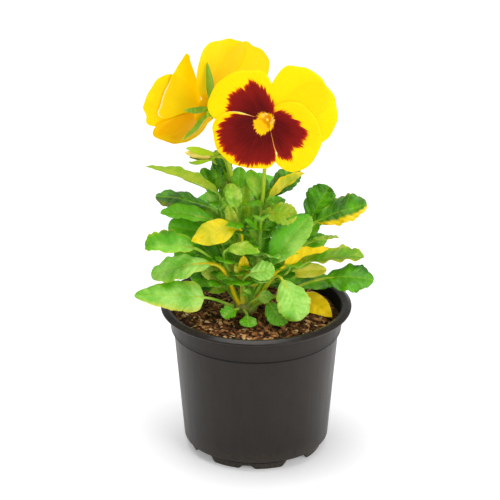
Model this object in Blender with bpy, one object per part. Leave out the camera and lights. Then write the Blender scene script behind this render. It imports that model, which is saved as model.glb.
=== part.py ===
"""A potted pansy: a black nursery pot, its soil, and a yellow pansy with two open flowers and a bud.

Lengths are in millimetres in the tables and formulas, and each finished mesh is scaled to metres.
The origin is the centre of the pot's foot on the ground, +Z is up and the open flower faces -Y.
"""

import math

import bmesh
import bpy
import numpy as np

MM = 0.001
GAP = 0.3  # space left between two pieces that rest against each other

# Pot: a round 10.5 cm nursery pot
POT_HEIGHT = 85.0
RIM_RADIUS = 52.5
COLLAR_TOP_RADIUS = 47.6
COLLAR_FOOT_RADIUS = 47.0
BODY_TOP_RADIUS = 45.3
BODY_FOOT_RADIUS = 40.0
FOOT_RADIUS = 36.9
WALL = 1.2
FLOOR_BOTTOM = 5.2
FLOOR_TOP = 6.6
POT_SEGMENTS = 48
NOTCH_TURN = -8.0  # degrees from the front of the first small notch
NOTCH_HALF_SMALL = 5.0
NOTCH_HALF_LARGE = 9.0
DRAIN_RADIUS = 4.0
DRAIN_CENTRE = 27.5

# Soil: the filling of the pot, lower at the wall than in the middle
SOIL_EDGE_HEIGHT = 76.6
SOIL_MOUND = 3.0
SOIL_BUMP = 0.45
SOIL_SEGMENTS = 36

# Root crown: the short woody knob that every stem and every low leaf grows from
CROWN = np.array([-6.0, -1.0, 81.5])
CROWN_RADIUS = 6.6
ROOT_LENGTH = 24.0
ROOT_RADIUS = 3.2
KNOB_ANGLES = (-48, -25, 0, 22, 45, 68)  # rings of points up the knob

# Leaves: flat blades on round stalks, both drawn as eight points round a middle line
LEAF_THICKNESS = 0.8
PETIOLE_RADIUS = 0.8
STALK_STATIONS = 4
BLADE_STATIONS = (0.0, 0.10, 0.26, 0.46, 0.66, 0.84, 0.96)
BLADE_ACROSS = (1, 0.5, 0, -0.5, -1, -0.5, 0, 0.5)

# The yellow leaf that has dropped on the soil
FALLEN_FOOT = (24.0, 14.0)
FALLEN_TIP = (41.5, -7.0)
FALLEN_STATIONS = (0.0, 0.12, 0.3, 0.5, 0.7, 0.88, 0.97)
FALLEN_HALF_WIDTH = 6.5
FALLEN_LIFT = 0.9
FALLEN_TILT = 32.0  # degrees that its rear edge stands up off the soil

# name: (turn and lift of the way that it leaves the crown, points of its line, radii at both ends)
STEMS = {
    "stem_middle": ((-60, 80), [(-8.0, 2, 106), (-9, 4, 130), (-11.5, 6, 150)], 1.8, 1.1),
    "stem_left": ((-98, 55), [(-15, 3, 102), (-17.5, 6, 121), (-18.5, 8, 141)], 1.6, 1.0),
    "stem_right": ((60, 66), [(0.5, -2, 104), (2, -1, 124), (3, 1, 142)], 1.6, 1.1),
    "stem_outer": ((120, 50), [(9, 7, 97), (19, 9, 111), (29, 9, 127)], 1.5, 1.0),
    "stem_rear": ((175, 55), [(-4, 13, 100), (-2, 18, 117), (-3, 21, 137)], 1.6, 1.0),
}

# Leaves. Each row: where the leaf stalk starts, where the blade starts, the tip, the way that the
# upper face looks, the blade's width, then arch, fold and how pointed the tip is.
# The start is (stem, share of its length) or ("crown", degrees from the front, degrees up).
LEAVES = {
    "leaf_left_high": (("stem_left", 0.95), (-21, 6, 147), (-59, -6, 167),
                       (0.3, 0.75, 0.6), 18, 1.5, 8, 0.75),
    "leaf_left_upper_dark": (("stem_left", 0.84), (-24, 14, 134), (-55, 13, 142),
                             (0.0, -0.35, 0.95), 16, 2.0, 5, 0.5),
    "leaf_left_upper": (("stem_left", 0.78), (-23, 3, 132), (-52, -1, 138),
                        (0.2, -0.5, 0.85), 12, 2.0, 10, 0.6),
    "leaf_left_middle": (("stem_left", 0.62), (-20, 4, 121), (-48, 2, 129),
                         (0.2, -0.6, 0.8), 17, 1.5, 8, 0.5),
    "leaf_left_curled": (("stem_left", 0.55), (-34, -7, 120), (-60, -13, 123),
                         (-0.2, -0.75, 0.6), 19, 4.0, 20, 0.5),
    "leaf_left_inner": (("stem_left", 0.38), (-20, 4, 108), (-45, 4, 113),
                        (0.1, -0.6, 0.8), 15, 2.0, 8, 0.5),
    "leaf_top_dark": (("stem_middle", 0.93), (-15, 13, 150), (-22, 13, 168),
                      (0.3, -0.9, 0.1), 11, 1.0, 5, 0.6),
    "leaf_top_front": (("stem_middle", 0.74), (-11, -2, 141), (-13, -6, 157),
                       (-0.2, -1.0, 0.3), 10, 0.5, 8, 0.6),
    "leaf_front_yellow": (("stem_middle", 0.58), (-11, -8, 132), (-35, -14, 127),
                          (0.0, -0.7, 0.7), 15, 2.0, 6, 0.9),
    "leaf_front_arched": (("stem_middle", 0.36), (-16, -14, 122), (2, -20, 123),
                          (0.1, -0.5, 0.85), 11, 3.5, 8, 0.8),
    "leaf_right_high": (("stem_right", 0.96), (7, 1, 146), (26, 2, 160),
                        (-0.4, 0.75, 0.5), 13, 1.0, 12, 0.7),
    "leaf_right_high_rear": (("stem_right", 0.86), (7, 9, 144), (23, 17, 157),
                             (-0.2, -0.7, 0.6), 14, 1.0, 5, 0.5),
    "leaf_right_round": (("stem_right", 0.80), (4, -6, 141), (22, -12, 141),
                         (0.1, -0.9, 0.45), 13, 2.5, 5, 0.45),
    "leaf_right_big": (("stem_right", 0.24), (8, -12, 113), (29, -9, 140),
                       (-0.3, -0.85, 0.35), 22, 2.0, 16, 0.55),
    "leaf_outer_dark": (("stem_outer", 0.86), (29, 13, 127), (40, 15, 147),
                        (-0.3, -0.85, 0.3), 19, 1.0, 6, 0.5),
    "leaf_outer_far": (("stem_outer", 0.98), (33, 6, 130), (60, 2, 142),
                       (0.0, -0.6, 0.8), 18, 1.5, 14, 0.5),
    "leaf_outer_thin": (("stem_outer", 0.68), (29, 3, 119), (45, 0, 123),
                        (0.0, 0.2, 1.0), 7, 1.0, 6, 0.8),
    "leaf_outer_crenate": (("stem_outer", 0.52), (30, 5, 107), (59, 3, 110),
                           (0.0, -0.2, 1.0), 19, 1.5, 6, 0.5),
    "leaf_outer_rear": (("stem_outer", 0.76), (26, 20, 120), (45, 34, 128),
                        (0.0, -0.3, 1.0), 18, 2.0, 6, 0.5),
    "leaf_right_low": (("crown", 88, 20), (37, -3, 100), (64, -10, 102),
                       (0.1, -0.5, 0.85), 20, 2.0, 5, 0.6),
    "leaf_right_yellow": (("crown", 72, 42), (15, -9, 110), (39, -13, 122),
                          (-0.1, 0.7, 0.65), 13, 1.5, 8, 0.8),
    "leaf_front_big": (("crown", 45, 28), (14, -20, 107), (24, -31, 88),
                       (0.25, -0.85, 0.5), 20, 2.5, 6, 0.5),
    "leaf_front_low": (("crown", 24, 13), (6, -14, 91), (15, -25, 82),
                       (0.2, -0.6, 0.75), 13, 1.0, 5, 0.55),
    "leaf_front_small": (("crown", 18, 35), (1, -14, 93), (9, -17, 96),
                         (-0.3, -0.8, 0.5), 8, 0.5, 10, 0.7),
    "leaf_front_light": (("crown", 12, 60), (-4, -18, 109), (10, -20, 113),
                         (-0.1, -0.7, 0.7), 12, 1.5, 8, 0.5),
    "leaf_front_stalk": (("crown", -20, 56), (-8, -9, 103), (-11, -11, 113),
                         (0.3, -0.9, 0.3), 7, 0.5, 8, 0.7),
    "leaf_front_tiny": (("crown", -6, 13), (-5, -16, 84), (-4, -26, 81.5),
                        (0.0, -0.5, 0.9), 10, 0.5, 4, 0.4),
    "leaf_front_lobed": (("crown", -38, 15), (-11, -15, 87), (-18, -21, 85),
                         (0.0, -0.6, 0.8), 10, 1.0, 4, 0.4),
    "leaf_left_low_big": (("crown", -80, 14), (-28, -17, 95), (-66, -21, 98),
                          (0.0, -0.75, 0.66), 18, 2.5, 4, 0.5),
    "leaf_left_arched": (("crown", -48, 43), (-24, -10, 112), (-57, -13, 106),
                         (0.0, -0.4, 0.9), 18, 3.0, 6, 0.5),
    "leaf_left_low_rear": (("crown", -125, 22), (-22, 11, 96), (-45, 27, 101),
                           (0.0, -0.3, 1.0), 18, 2.0, 6, 0.5),
    "leaf_rear_left": (("stem_rear", 0.55), (-12, 26, 121), (-33, 41, 129),
                       (0.2, -0.4, 0.9), 20, 2.0, 6, 0.5),
    "leaf_rear_middle": (("stem_rear", 0.78), (0, 29, 129), (5, 50, 140),
                         (0.0, -0.6, 0.8), 20, 2.0, 6, 0.5),
    "leaf_rear_right": (("stem_rear", 0.40), (9, 25, 111), (28, 43, 117),
                        (-0.1, -0.4, 0.9), 20, 2.0, 6, 0.5),
}

# Flowers: centre of the throat, way that the face looks (degrees to the right of the front, degrees up)
FLOWER_FRONT = ((5.7, -14.0, 196.6), (0.0, 20.0))
FLOWER_REAR = ((-30.0, 18.2, 192.6), (220.3, 10.0))

# Petals: turn of the petal on its flower (0 right, 90 up, as its face is looked at), half of its
# spread in degrees, layer behind the front petal, tilt toward the front, and how far its rim is from
# the throat at nine equal steps from one side to the other
PETALS_FRONT = {
    "lower": (225.5, 60.5, 0, 0, (20.5, 27.9, 29.5, 30.8, 30.2, 28.3, 26.6, 25.3, 20.5)),
    "side_left": (124, 64, 1, 0, (8.0, 14.8, 24.6, 27.7, 30.2, 32.2, 33.0, 30.8, 22.0)),
    "side_right": (-12, 72, 1, 0, (21.0, 30.0, 32.8, 32.0, 29.0, 24.5, 20.0, 14.0, 8.0)),
    "upper_left": (48, 48, 2, 0, (22.0, 32.0, 35.6, 36.0, 35.1, 32.8, 29.0, 18.5, 10.0)),
    "upper_right": (2, 48, 3, 0, (17.0, 26.5, 32.0, 35.2, 37.5, 37.6, 36.8, 34.0, 26.0)),
}
PETALS_REAR = {
    "lower": (16, 46, 0, 25, (24.5, 31.5, 32.0, 33.6, 33.6, 32.5, 31.0, 27.0, 18.0)),
    "side_left": (33, 49, 1, 25, (23.5, 26.0, 24.8, 25.2, 25.6, 26.2, 28.0, 30.5, 33.0)),
    "side_right": (-79, 59, 1, 25, (17.0, 23.5, 27.5, 28.8, 29.0, 29.0, 29.8, 31.6, 26.5)),
    "upper_left": (100, 36, 3, 0, (22.0, 33.0, 41.0, 42.0, 42.0, 42.0, 41.4, 38.0, 27.0)),
    "upper_right": (142, 42, 2, 0, (26.0, 38.5, 42.4, 43.0, 44.4, 45.2, 42.6, 36.0, 24.0)),
}
PETAL_THICKNESS = 0.6
PETAL_LAYER = 1.3
PETAL_START = 2.5
PETAL_REACHES = (0.0, 0.1, 0.24, 0.48, 0.75, 1.0)
CLAW_SHARE = 0.22  # the petal's narrow foot, as a share of its full spread
THROAT_DEPTH = 5.0
THROAT_RUN = 4.0

# Middle of a flower and its sepals
COLUMN_RADIUS = 2.0
SEPAL_THICKNESS = 0.9
SEPAL_HEIGHT = -9.6
SEPAL_LENGTH = 15.0
SEPAL_STEPS = 4  # points round the flower for each of the five sepals

# Bud: centre of its green base, way that it points
BUD_BASE = (-23.5, 5.0, 168.5)
BUD_TURN = (-80.0, 12.0)
BUD_SEPAL_LENGTH = 15.5

# Flower stalks: points between the stem and the green base of the flower
STALK_FRONT = [(3.8, 2.2, 150), (4.8, 4.5, 168), (5.6, 6.0, 183), (5.7, 2.5, 191)]
STALK_REAR = [(-13, 6, 156), (-15.5, 4.5, 168), (-17.5, 2.5, 180), (-19.5, 4, 188)]
STALK_BUD = [(-14.5, 9, 155), (-16, 7.5, 163), (-18, 6, 167.5)]


def unit(vector):
    """The vector, or each row of vectors, at length 1."""
    vector = np.asarray(vector, float)
    return vector / np.linalg.norm(vector, axis=-1, keepdims=True)


def aimed(turn, lift):
    """The direction that is turned from the front (-Y) toward the right and lifted, in degrees."""
    turn, lift = math.radians(turn), math.radians(lift)
    return np.array([math.sin(turn) * math.cos(lift), -math.cos(turn) * math.cos(lift), math.sin(lift)])


def make_material(name, colour, roughness):
    """A plain coloured surface."""
    material = bpy.data.materials.new(name)
    material.use_nodes = True
    shader = material.node_tree.nodes["Principled BSDF"]
    shader.inputs["Base Color"].default_value = (*colour, 1.0)
    shader.inputs["Roughness"].default_value = roughness
    return material


def make_solid(name, points, faces, material, smooth=True):
    """A mesh object from points in millimetres, with every face turned outward."""
    mesh = bpy.data.meshes.new(name)
    mesh.from_pydata((np.asarray(points) * MM).tolist(), [], faces)
    work = bmesh.new()
    work.from_mesh(mesh)
    bmesh.ops.recalc_face_normals(work, faces=work.faces)
    if work.calc_volume(signed=True) < 0:
        bmesh.ops.reverse_faces(work, faces=work.faces)
    for face in work.faces:
        face.smooth = smooth
    work.to_mesh(mesh)
    work.free()
    mesh.materials.append(material)
    node = bpy.data.objects.new(name, mesh)
    bpy.context.scene.collection.objects.link(node)
    return node


def ring_faces(rings, around):
    """Quads that join each ring of points to the next one."""
    faces = []
    for ring in range(rings - 1):
        for step in range(around):
            after = (step + 1) % around
            low, high = ring * around, (ring + 1) * around
            faces.append([low + step, low + after, high + after, high + step])
    return faces


def skin(name, rings, material, end_point=None, start_point=None):
    """A solid through rings of points. An end is a flat face, or a fan to one point."""
    rings = np.asarray(rings)
    count, around = rings.shape[:2]
    points = rings.reshape(-1, 3)
    faces = ring_faces(count, around)
    last = (count - 1) * around
    for row, point in ((0, start_point), (last, end_point)):
        if point is None:
            faces.append([row + step for step in range(around)])
        else:
            points = np.vstack([points, point])
            top = len(points) - 1
            faces += [[row + step, row + (step + 1) % around, top] for step in range(around)]
    return make_solid(name, points, faces, material)


def lathe(name, profile, segments, material, centre=(0.0, 0.0)):
    """A solid turned about a vertical line. The profile runs from the axis round to the axis."""
    profile = np.asarray(profile, float)
    angle = np.linspace(0, 2 * math.pi, segments, endpoint=False)
    inner = profile[1:-1]
    rings = np.empty((len(inner), segments, 3))
    rings[:, :, 0] = centre[0] + inner[:, :1] * np.cos(angle)
    rings[:, :, 1] = centre[1] + inner[:, :1] * np.sin(angle)
    rings[:, :, 2] = inner[:, 1:2]
    first = (centre[0], centre[1], profile[0, 1])
    last = (centre[0], centre[1], profile[-1, 1])
    return skin(name, rings, material, end_point=last, start_point=first)


def smooth_line(points, count):
    """Points and directions along a smooth line through the given points."""
    points = np.asarray(points, float)
    ends = np.vstack([2 * points[0] - points[1], points, 2 * points[-1] - points[-2]])
    place = np.linspace(0, len(points) - 1, count)
    piece = np.minimum(place.astype(int), len(points) - 2)
    share = (place - piece)[:, None]
    before, start, stop, after = (ends[piece + shift] for shift in range(4))
    slope_in = (stop - before) / 2
    slope_out = (after - start) / 2
    line = hermite(start, slope_in, stop, slope_out, share)
    return line, unit(hermite_slope(start, slope_in, stop, slope_out, share))


def hermite(start, slope_in, stop, slope_out, share):
    """The point at this share of a curve with given ends and end slopes."""
    return (
        (2 * share**3 - 3 * share**2 + 1) * start
        + (share**3 - 2 * share**2 + share) * slope_in
        + (3 * share**2 - 2 * share**3) * stop
        + (share**3 - share**2) * slope_out
    )


def hermite_slope(start, slope_in, stop, slope_out, share):
    """The direction of the same curve at this share."""
    return (
        (6 * share**2 - 6 * share) * start
        + (3 * share**2 - 4 * share + 1) * slope_in
        + (6 * share - 6 * share**2) * stop
        + (3 * share**2 - 2 * share) * slope_out
    )


def tube(name, line, along, radii, material, sides=6):
    """A round stalk along a smooth line, thinning from the first radius to the second."""
    count = len(line)
    side = unit(np.cross(along, (0.3, 1.0, 0.1)))
    other = np.cross(along, side)
    angle = np.linspace(0, 2 * math.pi, sides, endpoint=False)[None, :, None]
    radius = np.linspace(radii[0], radii[1], count)[:, None, None]
    rings = line[:, None] + radius * (np.cos(angle) * side[:, None] + np.sin(angle) * other[:, None])
    return skin(name, rings, material)


def stem_line(stem, count):
    """Points and directions along a stem from the root crown up, and its two radii."""
    leaving, points, foot, top = STEMS[stem]
    start, out = crown_point(*leaving)
    return (*smooth_line([start, start + out * 4.5, *points], count), foot, top)


def crown_point(turn, lift):
    """The place just off the root crown where a stalk starts, and the way that it leaves."""
    out = aimed(turn, lift)
    return CROWN + out * (CROWN_RADIUS + GAP), out


def stem_point(stem, share, toward):
    """The place just off the side of a stem where a stalk starts, and the way that it leaves."""
    line, along, foot, top = stem_line(stem, 101)
    row = int(round(share * 100))
    middle, direction = line[row], along[row]
    away = np.asarray(toward, float) - middle
    out = unit(away - direction * (away @ direction))
    radius = foot + (top - foot) * share
    return middle + out * (radius + GAP), out


def leaf_rings(start, out, knee, tip, face, width, arch, fold, point):
    """Rings of eight points along a stalk and then along a blade.

    The middle line is two cubic curves that meet at the knee. Half the blade's width follows
    u^0.65 (1-u)^point, and its two sides lean up from the midrib by the fold angle.
    """
    knee, tip, face = (np.asarray(value, float) for value in (knee, tip, face))
    blade = tip - knee
    bulge = 4 * arch * unit(face - blade * (face @ blade) / (blade @ blade))
    reach = np.linalg.norm(knee - start)
    join = unit(blade + bulge)
    stalk_share = np.linspace(0, 1, STALK_STATIONS + 1)[:-1, None]
    blade_share = np.array(BLADE_STATIONS)[:, None]
    parts = []
    for ends, share in (
        ((start, out * reach * 0.7, knee, join * reach), stalk_share),
        ((knee, blade + bulge, tip, blade - bulge), blade_share),
    ):
        parts.append((hermite(*ends, share), unit(hermite_slope(*ends, share))))
    line = np.vstack([part[0] for part in parts])
    along = np.vstack([part[1] for part in parts])
    share = np.concatenate([np.zeros(STALK_STATIONS), blade_share[:, 0]])
    flat = np.clip(share / 0.15, 0, 1)
    peak = 0.65 / (0.65 + point)
    outline = share**0.65 * (1 - share) ** point / (peak**0.65 * (1 - peak) ** point)
    half = np.maximum(PETIOLE_RADIUS, width / 2 * outline)
    up = unit(face - along * (along @ face)[:, None])
    # The stalk carries the blade's frame back to its foot, so that it never flips over.
    for row in range(STALK_STATIONS - 1, -1, -1):
        up[row] = unit(up[row + 1] - along[row] * (up[row + 1] @ along[row]))
    side = np.cross(up, along)
    angle = np.arange(8) * math.pi / 4
    flat = flat[:, None]
    across = np.cos(angle) * (1 - flat) + np.array(BLADE_ACROSS) * flat
    depth = np.sin(angle) * (PETIOLE_RADIUS * (1 - flat) + LEAF_THICKNESS / 2 * flat)
    lean = math.radians(fold)
    sideways = half[:, None] * across * (1 + (math.cos(lean) - 1) * flat)
    lift = half[:, None] * np.abs(across) * math.sin(lean) * flat + depth
    rings = line[:, None] + side[:, None] * sideways[:, :, None] + up[:, None] * lift[:, :, None]
    return rings, tip


def flower_frame(flower):
    """Throat, right, up and facing directions of a flower, as its face is looked at."""
    centre, (turn, lift) = flower
    facing = aimed(turn, lift)
    right = unit(np.cross((0.0, 0.0, 1.0), facing))
    return np.array(centre), right, np.cross(facing, right), facing


def petal_faces(rows, columns):
    """Faces of a closed sheet: two grids of points and the wall round their edge."""
    size = rows * columns
    faces = []
    for row in range(rows - 1):
        for column in range(columns - 1):
            corner = row * columns + column
            quad = [corner, corner + 1, corner + columns + 1, corner + columns]
            faces += [quad, [index + size for index in reversed(quad)]]
    edge = list(range(columns - 1))
    edge += [row * columns + columns - 1 for row in range(rows - 1)]
    edge += [(rows - 1) * columns + column for column in range(columns - 1, 0, -1)]
    edge += [row * columns for row in range(rows - 1, 0, -1)]
    for here, there in zip(edge, edge[1:] + edge[:1]):
        faces.append([there, here, here + size, there + size])
    return faces


def petal(name, flower, row, material):
    """One petal as a fan of radii about the throat.

    The fan lies on a cone that leans forward by the tilt, and its face sinks into the throat as
    -depth exp(-r / run).
    """
    turn, spread, layer, tilt, rim = row
    centre, right, up, facing = flower_frame(flower)
    reach = np.array(PETAL_REACHES)[:, None]
    across = np.linspace(-1, 1, len(rim))[None, :]
    radius = PETAL_START + (np.array(rim)[None, :] - PETAL_START) * reach
    opened = CLAW_SHARE + (1 - CLAW_SHARE) * np.clip(reach / 0.2, 0, 1) ** 1.5
    angle = np.radians(spread) * across * opened
    rise = -THROAT_DEPTH * np.exp(-radius / THROAT_RUN) - layer * PETAL_LAYER
    beyond = radius - PETAL_START
    rise = rise + beyond * math.sin(math.radians(tilt))
    radius = radius - beyond * (1 - math.cos(math.radians(tilt)))
    forward, sideways = radius * np.cos(angle), radius * np.sin(angle)
    cosine, sine = math.cos(math.radians(turn)), math.sin(math.radians(turn))
    ahead, beside = cosine * right + sine * up, cosine * up - sine * right
    sheet = centre + forward[..., None] * ahead + sideways[..., None] * beside
    sheets = [sheet + (rise - depth)[..., None] * facing for depth in (0.0, PETAL_THICKNESS)]
    points = np.concatenate([sheet.reshape(-1, 3) for sheet in sheets])
    return make_solid(name, points, petal_faces(*rise.shape), material)


def star(name, frame, profile, lobe, lobe_length, bend, material, turn=0.0):
    """A ring of five pointed sepals round a short column, as one solid.

    The profile lists radius, height along the facing direction, the share of the sepal reached
    (None on the column) and the sepal's side (front +1, back -1). `bend` maps a distance along a
    sepal to radius and height, and `lobe` is the sepal's reach at each step from its midline.
    """
    centre, right, up, facing = frame
    count = 5 * SEPAL_STEPS
    angle = np.radians(np.arange(count) * 360.0 / count + turn)
    spans = [lobe[min(step % SEPAL_STEPS, -step % SEPAL_STEPS)] for step in range(count)]
    rings = []
    for radius, height, share, side in profile:
        ring_radius, ring_height = np.full(count, radius), np.full(count, height)
        if share is not None:
            outward, onward = bend(share * lobe_length * np.array(spans))
            ring_radius += outward
            ring_height += onward + side * SEPAL_THICKNESS * (1 - 0.6 * share) / 2
        place = np.cos(angle)[:, None] * right + np.sin(angle)[:, None] * up
        rings.append(centre + place * ring_radius[:, None] + facing * ring_height[:, None])
    first = centre + facing * profile[0][1]
    last = centre + facing * profile[-1][1]
    return skin(name, rings, material, end_point=last, start_point=first)


def calyx(name, flower, material, turn):
    """The middle of an open flower: the pistil's head in the throat, the column that the petals
    stand round, and the five green sepals behind them."""
    profile = [
        (0.8, 1.5, None, 0),
        (1.4, 0.4, None, 0),
        (1.2, -0.9, None, 0),
        (0.7, -2.0, None, 0),
        (0.9, -3.2, None, 0),
        (COLUMN_RADIUS, -4.4, None, 0),
        (COLUMN_RADIUS, SEPAL_HEIGHT + 0.6, None, 0),
        (2.5, SEPAL_HEIGHT, 0.33, 1),
        (2.5, SEPAL_HEIGHT, 0.66, 1),
        (2.5, SEPAL_HEIGHT, 1.0, 1),
        (2.5, SEPAL_HEIGHT, 1.0, -1),
        (2.5, SEPAL_HEIGHT, 0.66, -1),
        (2.5, SEPAL_HEIGHT, 0.33, -1),
        (2.3, SEPAL_HEIGHT - 1.0, None, 0),
        (1.5, SEPAL_HEIGHT - 2.0, None, 0),
    ]
    lobe = (1.0, 0.42, 0.04)
    frame = flower_frame(flower)
    return star(name, frame, profile, lobe, SEPAL_LENGTH, open_bend, material, turn)


def open_bend(distance):
    """Sepals of an open flower spread flat behind the petals and lean back a little."""
    return distance, -0.006 * distance**2


def closed_bend(distance):
    """Sepals of a bud turn forward at once and stand round it."""
    return 1.9 * (1 - np.exp(-distance / 1.4)) - 0.0045 * distance**2, distance


def build_pot(material):
    """Turned pot wall with a rolled rim, a collar, a stacking step, a floor and a recessed foot."""
    inner_foot = BODY_FOOT_RADIUS - WALL
    profile = [
        (0, FLOOR_BOTTOM),
        (FOOT_RADIUS - 2.2, FLOOR_BOTTOM),
        (FOOT_RADIUS - 1.8, 0.0),
        (FOOT_RADIUS - 0.6, 0.0),
        (FOOT_RADIUS, FLOOR_BOTTOM),
        (BODY_FOOT_RADIUS - 0.7, FLOOR_BOTTOM),
        (BODY_FOOT_RADIUS, FLOOR_BOTTOM + 0.9),
        (BODY_TOP_RADIUS, 68.8),
        (COLLAR_FOOT_RADIUS - 0.6, 69.4),
        (COLLAR_FOOT_RADIUS, 70.6),
        (COLLAR_TOP_RADIUS, POT_HEIGHT - 3.0),
        (RIM_RADIUS - 0.4, POT_HEIGHT - 2.8),
        (RIM_RADIUS, POT_HEIGHT - 2.2),
        (RIM_RADIUS, POT_HEIGHT - 1.0),
        (RIM_RADIUS - 1.0, POT_HEIGHT - 0.1),
        (RIM_RADIUS - 3.0, POT_HEIGHT),
        (COLLAR_TOP_RADIUS - 0.6, POT_HEIGHT - 0.6),
        (COLLAR_TOP_RADIUS - WALL, POT_HEIGHT - 1.8),
        (COLLAR_FOOT_RADIUS - WALL, 71.0),
        (BODY_TOP_RADIUS - WALL, 68.0),
        (inner_foot, FLOOR_TOP),
        (0, FLOOR_TOP),
    ]
    pot = lathe("pot", profile, POT_SEGMENTS, material)
    for number in range(8):
        turn = math.radians(NOTCH_TURN + 45.0 * number)
        out = np.array([math.sin(turn), -math.cos(turn), 0.0])
        side = np.array([math.cos(turn), math.sin(turn), 0.0])
        large = number % 2 == 1
        half = NOTCH_HALF_LARGE if large else NOTCH_HALF_SMALL
        top = FLOOR_BOTTOM - 0.4 if large else FLOOR_BOTTOM - 2.4
        shape = [(-half, -1), (half, -1), (half, top * 0.55), (half * 0.7, top)]
        shape += [(-half * 0.7, top), (-half, top * 0.55)]
        rings = [
            [out * reach + side * across + np.array([0, 0, height]) for across, height in shape]
            for reach in (FOOT_RADIUS - 5.0, FOOT_RADIUS + 5.0)
        ]
        cut(pot, skin("cutter_notch_%d" % number, rings, material))
        if large:
            hole = [(0, 0.0), (DRAIN_RADIUS, 0.0), (DRAIN_RADIUS, 12.0), (0, 12.0)]
            middle = out * DRAIN_CENTRE
            cut(pot, lathe("cutter_drain_%d" % number, hole, 12, material, centre=middle[:2]))
    return pot


def cut(body, cutter):
    """Takes the cutter's shape out of the body."""
    cutter.hide_render = True
    cutter.display_type = "WIRE"
    modifier = body.modifiers.new(cutter.name, "BOOLEAN")
    modifier.operation = "DIFFERENCE"
    modifier.solver = "EXACT"
    modifier.object = cutter


def soil_height(x, y):
    """Top of the soil: a low mound with small bumps, in millimetres."""
    radius = np.hypot(x, y) / 45.0
    bumps = np.sin(0.31 * x + 1.3) * np.cos(0.27 * y - 0.4) + 0.6 * np.sin(0.19 * x - 0.33 * y)
    return SOIL_EDGE_HEIGHT + SOIL_MOUND * (1 - radius**2) + SOIL_BUMP * bumps


def build_soil(material):
    """The filling of the pot, just clear of the wall and the floor, with a socket for the root."""
    foot = BODY_FOOT_RADIUS - WALL - GAP
    shoulder = BODY_TOP_RADIUS - WALL - GAP - 0.1
    edge = COLLAR_FOOT_RADIUS - WALL - GAP
    angle = np.linspace(0, 2 * math.pi, SOIL_SEGMENTS, endpoint=False)
    rings = []
    for radius, height in ((foot, FLOOR_TOP + GAP), (shoulder, 67.6), (edge, 71.4), (edge + 0.2, None),
                           (40, None), (33, None), (25, None), (17, None), (10, None), (4.5, None)):
        x, y = radius * np.cos(angle), radius * np.sin(angle)
        z = soil_height(x, y) if height is None else np.full(SOIL_SEGMENTS, height)
        rings.append(np.stack([x, y, z], axis=1))
    top = (0, 0, float(soil_height(0.0, 0.0)))
    soil = skin("soil", rings, material, start_point=(0, 0, FLOOR_TOP + GAP), end_point=top)
    cut(soil, lathe("cutter_root", root_profile(GAP), 16, material, centre=CROWN[:2]))
    return soil


def root_profile(extra):
    """Round knob on a tapering root, grown outward by `extra`."""
    knob = []
    for degrees in KNOB_ANGLES:
        angle = math.radians(degrees)
        reach = CROWN_RADIUS + extra
        knob.append((reach * math.cos(angle), CROWN[2] + reach * math.sin(angle)))
    bottom = CROWN[2] - ROOT_LENGTH
    taper = [(0, bottom - extra), (1.2 + extra, bottom - extra), (ROOT_RADIUS + extra, bottom + 10)]
    return taper + knob + [(0, CROWN[2] + CROWN_RADIUS + extra)]


def build_leaves(material_of):
    """Every leaf in the table, as a stalk and a blade in one solid."""
    for name, row in LEAVES.items():
        start, knee, rest = row[0], row[1], row[2:]
        if start[0] == "crown":
            place, out = crown_point(start[1], start[2])
        else:
            place, out = stem_point(start[0], start[1], knee)
        rings, tip = leaf_rings(place, out, knee, *rest)
        skin(name, rings, material_of(name), end_point=tip)


def build_fallen_leaf(material):
    """A yellow leaf that lies on the soil, its tip toward the front right."""
    foot, tip = np.array(FALLEN_FOOT), np.array(FALLEN_TIP)
    share = np.array(FALLEN_STATIONS)[:, None]
    line = foot + (tip - foot) * share
    side = unit(np.array([tip[1] - foot[1], foot[0] - tip[0]]))
    outline = FALLEN_HALF_WIDTH * np.clip(share, 0.02, 1) ** 0.6 * (1 - share) ** 0.85 / 0.60
    across = np.array(BLADE_ACROSS)
    depth = np.sin(np.arange(8) * math.pi / 4) * LEAF_THICKNESS / 2
    flat = line[:, None] + side * (outline * across)[:, :, None]
    raised = soil_height(flat[..., 0], flat[..., 1]) + FALLEN_LIFT + depth
    raised = raised + outline * (1 - across) * math.sin(math.radians(FALLEN_TILT))
    rings = np.concatenate([flat, raised[..., None]], axis=2)
    end = np.array([*tip, soil_height(*tip) + FALLEN_LIFT])
    skin("leaf_fallen_yellow", rings, material, end_point=end)


def build_flower(label, flower, petals, stalk, stalk_start, turn, materials):
    """Five petals, the middle with its sepals, and the stalk of one flower."""
    centre, _, _, facing = flower_frame(flower)
    for part, row in petals.items():
        petal("petal_%s_%s" % (label, part), flower, row, materials["petal"])
    calyx("calyx_" + label, flower, materials["sepal"], turn)
    back = centre + facing * (SEPAL_HEIGHT - 2.0 - GAP)
    line = [stalk_start, *stalk, back - facing * 2.0, back]
    tube("stalk_" + label, *smooth_line(line, 14), (1.0, 0.9), materials["stem"])


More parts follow.
